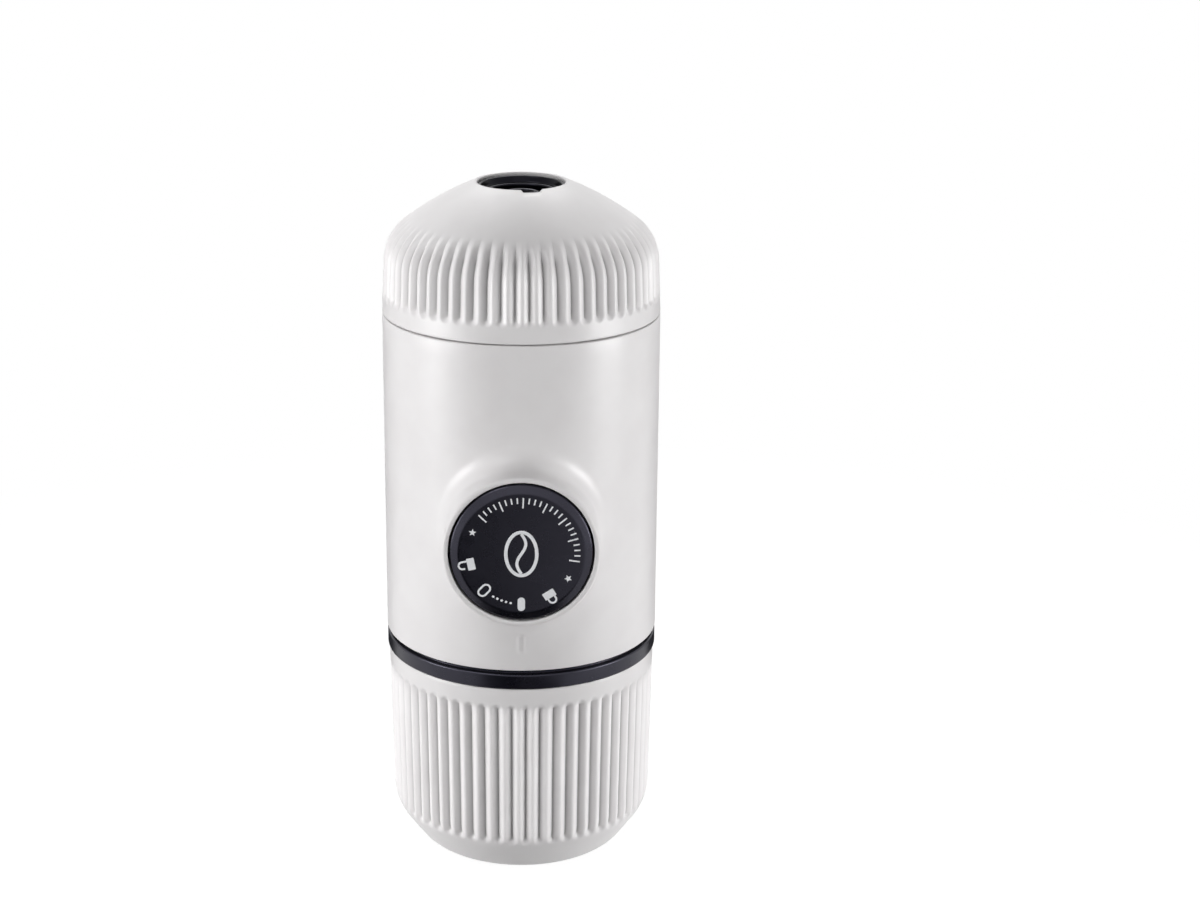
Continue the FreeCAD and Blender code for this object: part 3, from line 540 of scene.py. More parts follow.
def make_cup():
    outside, corner = cup_profile(0, RING_Z - EDGE)
    inside = cup_profile(CUP_WALL, RING_Z - EDGE)[0][::3]
    edge = soft_edge(inside[0][0], outside[0][0], RING_Z, -EDGE)
    outline = [(0, CUP_WALL)] + inside[::-1] + edge + outside + [(10, 0), (0, 0)]
    top = RING_Z - CUP_FLUTE_TOP
    angles = fluted_angles(CUP_FLUTES)
    verts, faces = lathe(outline, angles)
    first_outer = 1 + (len(inside) + len(edge)) * len(angles)
    shade = [0.0] * len(verts)
    for row, (radius, height) in enumerate(outside):
        if height < CUP_FOOT_ROUND:
            continue
        turn = atan2(corner[1] - height, radius - corner[0]) if height < corner[1] else 0.0
        beyond = max(height - top, (turn - radians(CUP_FLUTE_TURN)) * CUP_CORNER_ROUND)
        for column, angle in enumerate(angles):
            index = first_outer + row * len(angles) + column
            depth = flute_depth(CUP_FLUTES, angle, radius, beyond)
            verts[index] = upright(radius - depth * cos(turn), angle, height + depth * sin(turn))
            # painted highlight on the ridge tops and painted shade in the groove floors
            shade[index] = flute_painted_shade(CUP_RIDGE_PAINTED_LIGHT, depth, 1 - smooth(beyond, -1.0, 1.0))
    thing = add_piece("fluted_cup", (verts, faces), "cup_body", "white_shell", ["cup"], weighted=False)
    store_painted_shade(thing, shade)


# ---- head ----
def head_arcs():
    """The shoulder's centre, its first angle, and the dome's centre and radius."""
    lean = atan2(HEAD_TAPER, HEAD_SIDE_HEIGHT)
    side_top = Vector((BODY_RADIUS - HEAD_TAPER, HEAD_Z + HEAD_SIDE_HEIGHT))
    centre = side_top - Vector((cos(lean), sin(lean))) * SHOULDER_ROUND
    out = Vector((cos(radians(SHOULDER_END)), sin(radians(SHOULDER_END))))
    joint = centre + out * SHOULDER_ROUND
    reach = Vector((OUTLET_RADIUS + OUTLET_RIM, TOP_Z)) - joint
    dome_radius = -reach.dot(reach) / (2 * reach.dot(out))
    return centre, degrees(lean), joint - out * dome_radius, dome_radius


def head_profile(inset, bottom, mouth, step):
    """The head's side from the height bottom up to a mouth of that radius, moved in by inset."""
    centre, lean, dome, dome_radius = head_arcs()
    foot = BODY_RADIUS - inset - (bottom - HEAD_Z) * HEAD_TAPER / HEAD_SIDE_HEIGHT
    shoulder = arc(centre, SHOULDER_ROUND - inset, lean, SHOULDER_END, round(10 / step))
    end = degrees(acos((mouth - dome.x) / (dome_radius - inset)))
    crown = arc(dome, dome_radius - inset, SHOULDER_END, end, round(14 / step))
    ends = HEAD_Z + HEAD_FLUTE_START
    fine = (foot + (shoulder[0][0] - foot) * (ends - bottom) / (shoulder[0][1] - bottom), ends)
    side = straight((foot, bottom), fine, 0.25) + straight(fine, shoulder[0], 1.5)
    return side + shoulder + crown[1:]


def make_head():
    mouth = OUTLET_RADIUS + OUTLET_RIM
    outside = head_profile(0, HEAD_BOTTOM + EDGE, mouth, 0.6)
    collar = OUTLET_RADIUS + OUTLET_COLLAR_WALL
    inside = head_profile(SHELL_WALL, HEAD_BOTTOM + EDGE, collar, 2.0)[::-1]
    lip = arc((mouth, TOP_Z - OUTLET_RIM), OUTLET_RIM, 80, 180, 6)
    bore = [(OUTLET_RADIUS, TOP_Z - 2.5), (OUTLET_RADIUS, TOP_Z - OUTLET_COLLAR_DEPTH)]
    edge = soft_edge(inside[-1][0], outside[0][0], HEAD_BOTTOM, EDGE)
    outline = outside + lip + bore + [(collar, TOP_Z - OUTLET_COLLAR_DEPTH)] + inside + edge
    centre = head_arcs()[0]
    start = HEAD_Z + HEAD_FLUTE_START
    angles = fluted_angles(HEAD_FLUTES)
    verts, faces = lathe(outline, angles)
    shade = [0.0] * len(verts)
    for row, (radius, height) in enumerate(outline):
        turn = degrees(atan2(height - centre.y, radius - centre.x)) if height > centre.y else 0.0
        share = 1 - smooth(turn, *HEAD_FLUTE_FADE)
        near_rim = height > TOP_Z - NOTCH_DEPTH - 1.2 and radius < collar + 1.5
        for column, angle in enumerate(angles):
            index = row * len(angles) + column
            if row < len(outside) and share > 0:
                depth = share * flute_depth(HEAD_FLUTES, angle, radius, start - height)
                full = share * (1 - smooth(start - height, -1.0, 1.0))
                # painted highlight on the ridge tops and painted shade in the groove floors
                shade[index] = flute_painted_shade(HEAD_RIDGE_PAINTED_LIGHT, depth, full)
                out = radius - depth * cos(radians(turn))
                verts[index] = upright(out, angle, height - depth * sin(radians(turn)))
            elif near_rim and cos(angle) > 0:
                x = radius * sin(angle)
                side = abs(x - NOTCH_SIDE) / (NOTCH_WIDTH / 2)
                ceiling = TOP_Z - NOTCH_DEPTH * (1 - smooth(side, 0.72, 1.12))
                verts[index] = upright(radius, angle, min(height, ceiling))
    thing = add_piece("fluted_head", (verts, faces), "head", "white_shell", ["head_shell"], weighted=False)
    store_painted_shade(thing, shade)


# ---- body shell ----
PATCH_HALF_WIDTH = 26.0  # of the patch round the knob, measured round the body
PATCH_HALF_HEIGHT = 28.0
FINE_COLUMNS = (0.0, 0.16, 0.32, 0.48, 0.65, 0.85, 1.1, 1.5, 2.1, 3.0, 4.0)  # for the index mark
COARSE_COLUMNS = 22  # on each side of the fine ones
BACK_COLUMNS = 95
OUTER_STEPS = 22  # from the collar to the patch's edge
OUTER_BUNCHING = 1.15  # above 1, they draw together at the collar
INNER_STEPS = 8


def patch_columns():
    near = FINE_COLUMNS[-1]
    far = [near + (PATCH_HALF_WIDTH - near) * step / COARSE_COLUMNS for step in range(1, COARSE_COLUMNS + 1)]
    right = list(FINE_COLUMNS) + far
    return [-across for across in reversed(right[1:])] + right


def patch_rows():
    count = round(2 * PATCH_HALF_HEIGHT)
    return [KNOB_Z - PATCH_HALF_HEIGHT + row for row in range(count + 1)]


def mark_depth(across, height):
    """Depth of the upright index groove under the knob."""
    beyond = max(abs(height - (KNOB_Z - MARK_DROP)) - (MARK_LENGTH - MARK_WIDTH) / 2, 0)
    far = sqrt(across * across + beyond * beyond) / (MARK_WIDTH / 2)
    return MARK_DEPTH * (1 - smooth(far, 0.25, 1.0))


def collar_rows(turn):
    """Points from the collar's blend over its rim and down its bore, at an angle round the knob."""
    reach = COLLAR_RADIUS + COLLAR_BLEND
    side, up = sin(turn), cos(turn)
    centre = Vector((reach * side, -sqrt((BODY_RADIUS + COLLAR_BLEND) ** 2 - (reach * side) ** 2),
                     KNOB_Z + reach * up))
    to_collar = Vector((-side, 0, -up))
    to_body = Vector((-centre.x, -centre.y, 0)).normalized()
    rows = [centre + to_body.slerp(to_collar, step / 12) * COLLAR_BLEND for step in range(13)]
    edge = COLLAR_Y + COLLAR_EDGE
    places = [(COLLAR_RADIUS, centre.y + (edge - centre.y) * step / 3) for step in (1, 2)]
    places += arc((COLLAR_RADIUS - COLLAR_EDGE, edge), COLLAR_EDGE, 0, -90, 5)
    places += arc((COLLAR_BORE + EDGE, COLLAR_Y + EDGE), EDGE, -90, -180, 4)
    bore_end = -sqrt((BODY_RADIUS - SHELL_WALL) ** 2 - (COLLAR_BORE * side) ** 2)
    places += [(COLLAR_BORE, (COLLAR_Y + bore_end) / 2), (COLLAR_BORE, bore_end)]
    return rows + [Vector((radius * side, y, KNOB_Z + radius * up)) for radius, y in places]


def on_cylinder(radius, across, height):
    """A point on a cylinder about the body's axis, at a distance round the body's own surface."""
    return Vector(upright(radius, across / BODY_RADIUS, height))


def make_body():
    columns = patch_columns()
    rows = patch_rows()
    spare = tau * BODY_RADIUS - 2 * PATCH_HALF_WIDTH
    across = columns + [PATCH_HALF_WIDTH + spare * step / BACK_COLUMNS for step in range(1, BACK_COLUMNS)]
    inner = BODY_RADIUS - SHELL_WALL
    lower = [BODY_Z + EDGE, BODY_Z + 1.2, BODY_Z + 2.2]
    upper = [rows[-1] + 2.0 * step for step in range(1, 7)] + [SHELL_TOP - EDGE]
    profile = [(BODY_RADIUS, z) for z in lower + rows + upper]
    profile += arc((BODY_RADIUS - EDGE, SHELL_TOP - EDGE), EDGE, 0, 90, 3)[1:]
    profile += arc((THROAT_RADIUS + EDGE, SHELL_TOP - EDGE), EDGE, 90, 180, 3)
    profile += [(THROAT_RADIUS, SHELL_TOP - SHELL_WALL), (inner, SHELL_TOP - SHELL_WALL)]
    inner_first = len(profile)
    profile += [(inner, z) for z in reversed(rows)]
    profile += [(inner, BODY_Z + EDGE)]
    profile += arc((inner + EDGE, BODY_Z + EDGE), EDGE, 180, 270, 3)[1:]
    profile += arc((BODY_RADIUS - EDGE, BODY_Z + EDGE), EDGE, 270, 360, 3)[:-1]

    outer_rows = range(len(lower), len(lower) + len(rows))
    inner_rows = range(inner_first, inner_first + len(rows))
    front = range(len(columns))

    def in_patch(row, column):
        if not front[0] < column < front[-1]:
            return False
        return outer_rows[0] < row < outer_rows[-1] or inner_rows[0] < row < inner_rows[-1]

    verts, faces, index = [], [], {}
    for row, (radius, height) in enumerate(profile):
        for column, place in enumerate(across):
            if in_patch(row, column):
                continue
            depth = mark_depth(place, height) if radius == BODY_RADIUS else 0.0
            index[row, column] = len(verts)
            verts.append(on_cylinder(radius - depth, place, height))
    for row in range(len(profile)):
        above = (row + 1) % len(profile)
        hole_row = row in outer_rows[:-1] or row in inner_rows[:-1]
        for column in range(len(across)):
            after = (column + 1) % len(across)
            if hole_row and column in front[:-1]:
                continue
            faces.append((index[row, column], index[row, after], index[above, after], index[above, column]))

    loop = [(rows[-1], column) for column in front]
    loop += [(z, front[-1]) for z in reversed(rows[:-1])]
    loop += [(rows[0], column) for column in reversed(front[:-1])]
    loop += [(z, front[0]) for z in rows[1:-1]]
    rays = []
    for height, column in loop:
        row = rows.index(height)
        goal = (across[column], height)
        over = collar_rows(atan2(goal[0], height - KNOB_Z))
        outer_start = (asin(over[0].x / BODY_RADIUS) * BODY_RADIUS, over[0].z)
        inner_start = (asin(over[-1].x / inner) * BODY_RADIUS, over[-1].z)
        points = []
        for step in range(1, OUTER_STEPS):
            along, up = between(outer_start, goal, (1 - step / OUTER_STEPS) ** OUTER_BUNCHING)
            points.append(on_cylinder(BODY_RADIUS - mark_depth(along, up), along, up))
        points += over
        for step in range(1, INNER_STEPS):
            points.append(on_cylinder(inner, *between(inner_start, goal, step / INNER_STEPS)))
        outer_end = index[outer_rows[row], column]
        inner_end = index[inner_rows[-1 - row], column]
        rays.append([outer_end, *put(verts, points), inner_end])
    for ray, after in zip(rays, rays[1:] + rays[:1]):
        for step in range(len(ray) - 1):
            faces.append((ray[step], ray[step + 1], after[step + 1], after[step]))
    add_piece("body_casing", (verts, faces), "main", "white_shell", ["body_shell"], weighted=False)


# ---- water tank ----
def make_tank():
    top = high("water_tank").z
    inset = CUP_WALL + 0.5
    wall = 1.7
    neck = high("tank_gasket").x - 0.6
    neck_bore = high("tank_gasket").x - 1.8
    face = BODY_RADIUS - 0.05
    step = BODY_RADIUS - 1.3
    recess_z = BODY_Z - 1.0
    flange_top = BODY_Z - 0.1
    under = RING_Z + 0.1
    outside, corner = cup_profile(inset, under)
    side = CUP_WALL_RADIUS - inset - wall
    shoulder_z = RING_Z - 6.0
    groove_top = RING_Z - 2.1
    groove_bottom = groove_top - 1.8
    groove_radius = outside[0][0] - 1.25
    inner = [(0, inset + wall, 0), (CUP_FOOT_RADIUS, inset + wall, 1.5), (side, corner[1], 5.0),
             (side, shoulder_z, 1.5), (neck_bore, shoulder_z + side - neck_bore, 1.5), (neck_bore, top, 0.5)]
    outer = [(neck, top, 0.5), (neck, flange_top, 0.25), (step, flange_top, 0.15), (step, recess_z, 0.12),
             (face, recess_z, 0.4), (face, under, 0.35), (outside[0][0], under, 0.3)]
    seat = [(outside[0][0], groove_top, 0.15), (groove_radius, groove_top, 0.1),
            (groove_radius, groove_bottom, 0.1), (outside[0][0], groove_bottom, 0.15)]
    upper = rounded(inner + outer + seat + [(outside[8][0], outside[8][1], 0), (0, outside[8][1], 0)])[:-1]
    outline = upper + outside[9::2] + [(0, inset)]
    body = lathe(outline, even(200))
    crest = coil(upright, neck, flange_top + 1.4, THREAD_PITCH, THREAD_TURNS, thread(0.75), 72)
    add_piece("tank_shell", joined(body, crest), "tank", "black_tank", ["water_tank"], sharp=35)


# ---- knob ----
def make_knob():
    face = KNOB_FACE_Y + PRINT_HEIGHT
    plate = face + KNOB_PLATE
    skirt = KNOB_RADIUS - KNOB_SKIRT_WALL
    corners = [(0, face, 0), (KNOB_RADIUS - KNOB_BEVEL, face, 1.6),
               (KNOB_RADIUS - 0.15, face + KNOB_BEVEL_DEPTH, 0.7), (KNOB_RADIUS, KNOB_BACK_Y, 0.4),
               (skirt, KNOB_BACK_Y, 0.4), (skirt, plate, 0.5), (HUB_RADIUS, plate, 0.5),
               (HUB_RADIUS, HUB_END_Y, 0.4), (ROD_BORE, HUB_END_Y, 0.3), (ROD_BORE, plate, 0), (0, plate, 0)]
    body = lathe(rounded(corners, 6), even(192), lying)
    foot = HUB_END_Y - LUG_LENGTH
    root = HUB_RADIUS - 0.5
    section = [(root, foot), (LUG_RADIUS, foot), (LUG_RADIUS, HUB_END_Y), (root, HUB_END_Y)]
    parts = [body]
    for side in (90.0, -90.0):
        turns = [radians(side - LUG_ANGLE / 2 + LUG_ANGLE * step / 8) for step in range(9)]
        parts.append(skin([[lying(radius, turn, y) for radius, y in section] for turn in turns], "capped"))
    add_piece("knob_cap", joined(*parts), "knob", "black_knob", ["piston_knob"], sharp=30)


class Print:
    """Flat marks on the knob's face, drawn in millimetres right and up of its middle."""

    def __init__(self):
        self.verts, self.faces = [], []

    def fill(self, points):
        self.faces.append(tuple(put(self.verts, points)))

    def stroke(self, points, width, closed=False):
        first = len(self.verts)
        count = len(points)
        for place, point in enumerate(points):
            before = points[place - 1] if closed or place else point
            after = points[(place + 1) % count] if closed or place < count - 1 else point
            along = (Vector(after) - Vector(before)).normalized()
            side = Vector((-along.y, along.x)) * width / 2
            self.verts += [tuple(Vector(point) + side), tuple(Vector(point) - side)]
        for place in range(count if closed else count - 1):
            a, b = first + 2 * place, first + 2 * ((place + 1) % count)
            self.faces.append((a, a + 1, b + 1, b))


def at(angle, radius, points):
    """Puts points round the dial: their up becomes outwards, angle in degrees clockwise from up."""
    turn = radians(angle)
    out = Vector((sin(turn), cos(turn)))
    side = Vector((cos(turn), -sin(turn)))
    return [tuple(out * (radius + y) + side * x) for x, y in points]


def loop_points(width, height, count=12):
    """A pill: a rectangle of that height with half-round ends."""
    half, radius = height / 2 - width / 2, width / 2
    turns = [pi * step / count for step in range(count + 1)]
    top = [(radius * cos(turn), half + radius * sin(turn)) for turn in turns]
    return top + [(-x, -y) for x, y in top]


def star_points(size):
    sizes = [size, size * 0.45] * 5
    return [(radius * sin(turn), radius * cos(turn)) for radius, turn in zip(sizes, even(10))]


MARK_RING = 11.45  # where the marks stand on the knob's face
LINE = 0.42  # thickness of thin lines
OPEN_MARK = 223.8  # degrees clockwise from up, as all of these
DOTS = (191.5, 5.1, 5)  # first, step, how many
STARS = (-65.0, 119.0)
PADLOCKS = ((147.0, 0.0, 0.3), (-102.0, 0.55, 0.95))  # angle, lift of the bow, foot of its left leg
PADLOCK_CASE = ((-1.25, -1.3), (1.25, -1.3), (1.35, -1.2), (1.35, 0.25), (1.25, 0.35), (-1.25, 0.35),
                (-1.35, 0.25), (-1.35, -1.2))
TICKS = (-46.0, 6.0, 25)
TICK_WIDTH = 0.32
BEAN = (3.3, 4.9)  # half width and half height


def draw_dial():
    art = Print()
    art.fill(at(180.0, MARK_RING, loop_points(1.6, 3.1)))
    art.stroke(at(OPEN_MARK, MARK_RING, loop_points(1.75, 2.9)), LINE, closed=True)
    first, step, count = DOTS
    for dot in range(count):
        art.fill(at(first + step * dot, 11.4, loop_points(0.56, 0.561, 8)))
    for angle in STARS:
        art.fill(at(angle, MARK_RING, star_points(0.85)))
    for angle, lift, left_foot in PADLOCKS:
        art.fill(at(angle, MARK_RING, PADLOCK_CASE))
        turns = [pi * share / 10 for share in range(11)]
        bow = [(0.8 * cos(turn), 0.85 + lift + 0.8 * sin(turn)) for turn in turns]
        art.stroke(at(angle, MARK_RING, [(0.8, 0.3)] + bow + [(-0.8, left_foot)]), LINE)
    first, step, count = TICKS
    for tick in range(count):
        tall = 2.3 if tick % 4 == 0 else 1.3
        right, up = TICK_WIDTH / 2, tall / 2
        box = [(-right, -up), (right, -up), (right, up), (-right, up)]
        art.fill(at(first + step * tick, MARK_RING + 1.15 - up, box))
    art.stroke([(BEAN[0] * sin(turn), BEAN[1] * cos(turn)) for turn in even(48)], 0.75, closed=True)
    art.stroke([(0.95 * sin(pi * share / 12), share * 0.375) for share in range(-12, 13)], 0.65)
    return art


def make_print():
    """The dial's marks, as thin plates that stand a little off the knob's face."""
    art = draw_dial()
    back = KNOB_FACE_Y + PRINT_HEIGHT + 0.02
    mesh = bpy.data.meshes.new("outline")
    mesh.from_pydata([(x, back, KNOB_Z + y) for x, y in art.verts], [], art.faces)
    work = bmesh.new()
    work.from_mesh(mesh)
    bmesh.ops.triangulate(work, faces=work.faces)
    grown = bmesh.ops.extrude_face_region(work, geom=work.faces[:])
    moved = [item for item in grown["geom"] if isinstance(item, bmesh.types.BMVert)]
    bmesh.ops.translate(work, verts=moved, vec=(0, KNOB_FACE_Y - back, 0))
    work.verts.ensure_lookup_table()
    verts = [tuple(vert.co) for vert in work.verts]
    faces = [tuple(vert.index for vert in face.verts) for face in work.faces]
    work.free()
    add_piece("knob_print", (verts, faces), "knob", "white_ink", weighted=False, sharp=30)


# ---- outlet ----
RIBS = 6
RIB_RADII = (3.9, 4.6, 7.0)  # where a rib has its sections; the last is at the wall


def make_outlet():
    foot, top, outer = extent("outlet_spout")
    floor = foot + 1.5
    lip = top - 1.8
    corners = [(3.2, foot, 0.2), (outer, foot, 0.2), (outer, top, 0.3), (outer - 0.7, top, 0.35),
               (outer - 1.0, top - 1.4, 0.3), (outer - 2.1, top - 1.4, 0.45), (outer - 2.4, floor, 0.5),
               (4.9, floor, 0.4), (4.4, lip, 0.5), (3.25, lip, 0.5)]
    parts = [lathe(rounded(corners, 5), even(160))]
    section = rounded([(-0.55, floor - 0.7, 0), (0.55, floor - 0.7, 0), (0.5, top - 2.9, 0.4),
                       (-0.5, top - 2.9, 0.4)])
    for turn in even(RIBS):
        rings = [[(radius * sin(turn) + x * cos(turn), -radius * cos(turn) + x * sin(turn), z)
                  for x, z in section] for radius in (*RIB_RADII, outer - 1.9)]
        parts.append(skin(rings, "capped"))
    add_piece("outlet_insert", joined(*parts), "head", "gloss_black", ["outlet_spout"], sharp=35)


# ---- brewing neck, basket, scoop ----
NECK_RADIUS = 25.75  # at the root of its thread
BASKET_PLAY = 0.3  # between basket and neck
BASKET_WALL = 1.6
SCOOP_WALL = 1.3


def make_neck():
    foot, top, _ = extent("brew_neck")
    inner, bore = INNER_RADIUS, NECK_BORE
    root, seat = NECK_RADIUS, bore + 1.9
    floor = foot + 6.0
    corners = [(0, floor, 0), (bore, floor, 0.4), (bore, foot, 0.2), (inner, foot, 0.3),
               (inner, foot + 2.5, 0.3), (root, foot + 2.5, 0.5), (root, top, 0.2), (seat, top, 0.2),
               (seat, top - 2.1, 0.1), (bore, top - 2.1, 0.2), (bore, floor + 2.5, 0.4), (0, floor + 2.5, 0)]
    body = lathe(rounded(corners), even(180))
    crest = coil(upright, root, SHELL_TOP + 1.6, THREAD_PITCH, THREAD_TURNS, thread(0.5), 72)
    add_piece("threaded_neck", joined(body, crest), "main", "inner_plastic", ["brew_neck"], sharp=35)


def make_basket():
    foot, rim, outer = extent("filter_basket")
    radius = NECK_BORE - BASKET_PLAY
    bore = radius - BASKET_WALL
    floor, lip = foot + 1.2, rim - 2.0
    corners = [(bore - 1.8, foot, 0.3), (radius, foot, 0.8), (radius, lip, 0.3), (outer, lip, 0.3),
               (outer, rim, 0.4), (bore, rim, 0.4), (bore, floor, 0.3), (bore - 1.8, floor, 0.3)]
    mesh_parts = lathe(rounded(corners), even(160))
    add_piece("basket_body", mesh_parts, "basket", "inner_plastic", ["filter_basket"])


def make_scoop():
    foot, rim, radius = extent("coffee_scoop")
    bore, floor = radius - SCOOP_WALL, foot + 1.5
    corners = [(0, foot, 0), (radius, foot, 1.2), (radius, rim, 0.45), (bore, rim, 0.45),
               (bore, floor + 4.6, 0.15), (bore - 0.25, floor + 4.5, 0.1), (bore - 0.25, floor + 4.0, 0.1),
               (bore, floor + 3.9, 0.15), (bore, floor, 2.2), (0, floor, 0)]
    add_piece("dosing_scoop", lathe(rounded(corners), even(160)), "scoop", "inner_plastic", ["coffee_scoop"])


SCREEN_PLATE = 0.8  # thickness of the shower screen
SCREEN_RIM = 0.8  # least plain width round the holes
SCREENS = (  # name, node, body, pitch and radius of the holes
    ("shower_plate", "shower_screen", "main", 1.7, 0.4),
    ("basket_plate", "basket_screen", "basket", 1.5, 0.32),
    ("outlet_plate", "outlet_filter", "head", 1.5, 0.32),
)


def hole_centres(radius, limit, pitch):
    """Places on a hexagonal grid that are within the limit."""
    span = int(radius / pitch) + 2
    steps = range(-span, span + 1)
    grid = [((column + row / 2) * pitch, row * pitch * sqrt(3) / 2) for row in steps for column in steps]
    return [(x, y) for x, y in grid if x * x + y * y <= limit * limit]


def make_screen(name, node, body, pitch, hole):
    """A plate with round holes, each in its own six-sided cell, and a plain rim round the cells."""
    foot, top, radius = extent(node)
    has_skirt = node == "shower_screen"
    bottom = top - SCREEN_PLATE if has_skirt else foot
    verts, faces, found, edges = [], [], {}, {}

    def corner(x, y, z):
        key = (round(x, 3), round(y, 3), z)
        if key not in found:
            found[key] = len(verts)
            verts.append((x, y, z))
        return found[key]

    reach = pitch / sqrt(3)
    cell = [(turn + pi / 6, far) for turn, far in zip(even(12), [reach, reach * cos(pi / 6)] * 6)]
    for x, y in hole_centres(radius, radius - reach - SCREEN_RIM, pitch):
        rings = []
        for z in (bottom, top):
            outer = [corner(x + far * cos(turn), y + far * sin(turn), z) for turn, far in cell]
            rings.append([corner(x + hole * cos(turn), y + hole * sin(turn), z) for turn, _ in cell])
            bridge(faces, outer, rings[-1])
        bridge(faces, *rings)
        for edge in zip(outer, outer[1:] + outer[:1]):
            edges.setdefault(frozenset(edge), []).append(edge)
    onward = dict(shared[0] for shared in edges.values() if len(shared) == 1)
    loop = [next(iter(onward))]
    while onward[loop[-1]] != loop[0]:
        loop.append(onward[loop[-1]])
    turns = [atan2(verts[vert][1], verts[vert][0]) for vert in loop]
    rings = [loop]
    for z in (top, bottom):
        rings.append(put(verts, [(radius * cos(turn), radius * sin(turn), z) for turn in turns]))
    rings.append([corner(*verts[vert][:2], bottom) for vert in loop])
    for ring, after in zip(rings, rings[1:]):
        bridge(faces, ring, after)
    parts = [(verts, faces)]
    if has_skirt:
        skirt = [(radius - 1, foot, 0.2), (radius, foot, 0.2), (radius, bottom, 0), (radius - 1, bottom, 0)]
        parts.append(lathe(rounded(skirt, 3), even(120)))
    add_piece(name, joined(*parts), body, "steel", [node], weighted=False)


# ---- seals, springs, screws ----
SEALS = (  # name, node, body, width
    ("tank_seal_ring", "tank_gasket", "tank_seal", 1.8),
    ("head_seal_ring", "head_gasket", "head_seal", 4.1),
    ("chamber_seal_ring", "chamber_gasket", "main", 3.35),
)
SEAL_DIP = 0.15  # of the hollow in its upper and lower face
PLUNGER_COIL = (11.0, 1.2, 5.5)  # radius, thickness of the wire, turns
VALVE_WIRE = 0.5
VALVE_TURNS = 3.5
VALVE_SPRINGS = (  # name, node, body at the moving end, radius, place along X
    ("valve_spring", "outlet_spring", "outlet_poppet", 1.65, 0.0),
    ("ball_spring", "relief_spring", "relief", 1.7, 11.0),
)
SCREW_X = 21.5
SCREW_HEAD = 2.2  # radius
SCREW_SHANK = 1.1  # radius
SCREW_SOCKET = 0.85


def make_seals():
    for name, node, body, width in SEALS:
        bottom, top, outer = extent(node)
        middle = (bottom + top) / 2
        inner = outer - width
        crown = inner + width / 2
        corners = [(inner, bottom, 0.3), (crown, bottom + SEAL_DIP, 0.5), (outer, bottom, 0.3),
                   (outer, middle, 0), (outer, top, 0.3), (crown, top - SEAL_DIP, 0.5), (inner, top, 0.3),
                   (inner, middle, 0)]
        add_piece(name, lathe(rounded(corners), even(140)), body, "silicone", [node])


def make_springs():
    """Springs between the frame and the body they push."""
    front, back = low("return_spring").y, high("return_spring").y
    radius, thickness, turns = PLUNGER_COIL
    pitch = (back - front - thickness) / turns
    parts = coil(lying, radius, front + thickness / 2, pitch, turns, wire(thickness / 2))
    spring = add_piece("plunger_spring", parts, None, "steel", ["return_spring"], weighted=False)
    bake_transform(spring)
    for name, node, body, radius, x in VALVE_SPRINGS:
        foot, top = low(node).z, high(node).z
        pitch = (top - foot - VALVE_WIRE) / VALVE_TURNS
        parts = coil(about(x, DUCT_Y), radius, foot + VALVE_WIRE / 2, pitch, VALVE_TURNS,
                     wire(VALVE_WIRE / 2, 8), 32)
        spring = add_piece(name, parts, None, "steel", [node], weighted=False)
        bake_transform(spring)


def make_screws():
    """Socket-head screws under the tank's roof."""
    box_low, box_high = low("frame_screws"), high("frame_screws")
    foot, top = box_low.z, box_high.z
    floor, shoulder = foot + 0.9, foot + 1.3
    corners = [(0, floor, 0), (SCREW_SOCKET, floor, 0), (SCREW_SOCKET + 0.1, foot, 0.1),
               (SCREW_HEAD, foot, 0.35), (SCREW_HEAD, shoulder, 0.1), (SCREW_SHANK, shoulder, 0),
               (SCREW_SHANK, top, 0.2), (0, top, 0)]

    def six_sided(radius, height, angle):
        if 0.5 < radius < 1.0 and height < foot + 1.0:
            radius /= cos((angle + pi / 6) % (pi / 3) - pi / 6)
        return radius, height

    parts = []
    for x in (-SCREW_X, SCREW_X):
        for y in (box_low.y + SCREW_HEAD, box_high.y - SCREW_HEAD):
            parts.append(lathe(rounded(corners, 3), even(48), about(x, y), six_sided))
    add_piece("core_screws", joined(*parts), "main", "steel", ["frame_screws"], sharp=30)


def dress_nodes():
    """Every CAD node that still shows takes the material of its slot."""
    slots = {part["node"]: part["material_slot"] for part in frame["record"]["subparts"]}
    for name, node in frame["nodes"].items():
        node.data.materials.clear()
        node.data.materials.append(MATERIALS[slots[name]])


# ---- set ----
AXIS_X = 521.3  # where the body's axis stands in the 1200 pixel wide picture
PICTURE_WIDTH = 1200
CAMERA_DISTANCE = 0.5164
CAMERA_HEIGHT = 0.2598
CAMERA_PITCH = 17.84  # degrees down
CAMERA_LENS = 71.565
CAMERA_LIFT = 0.00108  # shift of the frame, in frame widths

LAMPS = (  # name, azimuth, middle's height, distance, width, tall, watts
    ("left_key", -60.0, 0.1, 0.5, 0.16, 0.2, 0.4),
    ("right_key", 60.0, 0.1, 0.5, 0.16, 0.2, 0.4),
    ("left_side", -73.0, 0.1, 0.5, 0.16, 0.2, 1.18),
    ("right_side", 73.0, 0.1, 0.5, 0.16, 0.2, 1.28),
    ("left_high", -45.0, 0.6, 0.4, 0.25, 0.25, 1.0),
    ("front_soft", 0.0, 0.45, 0.65, 0.6, 0.6, 0.35),
    ("back_soft", 180.0, 0.5, 0.3, 0.3, 0.3, 1.4),
)
AMBIENT = 0.0  # strength of the world as a light

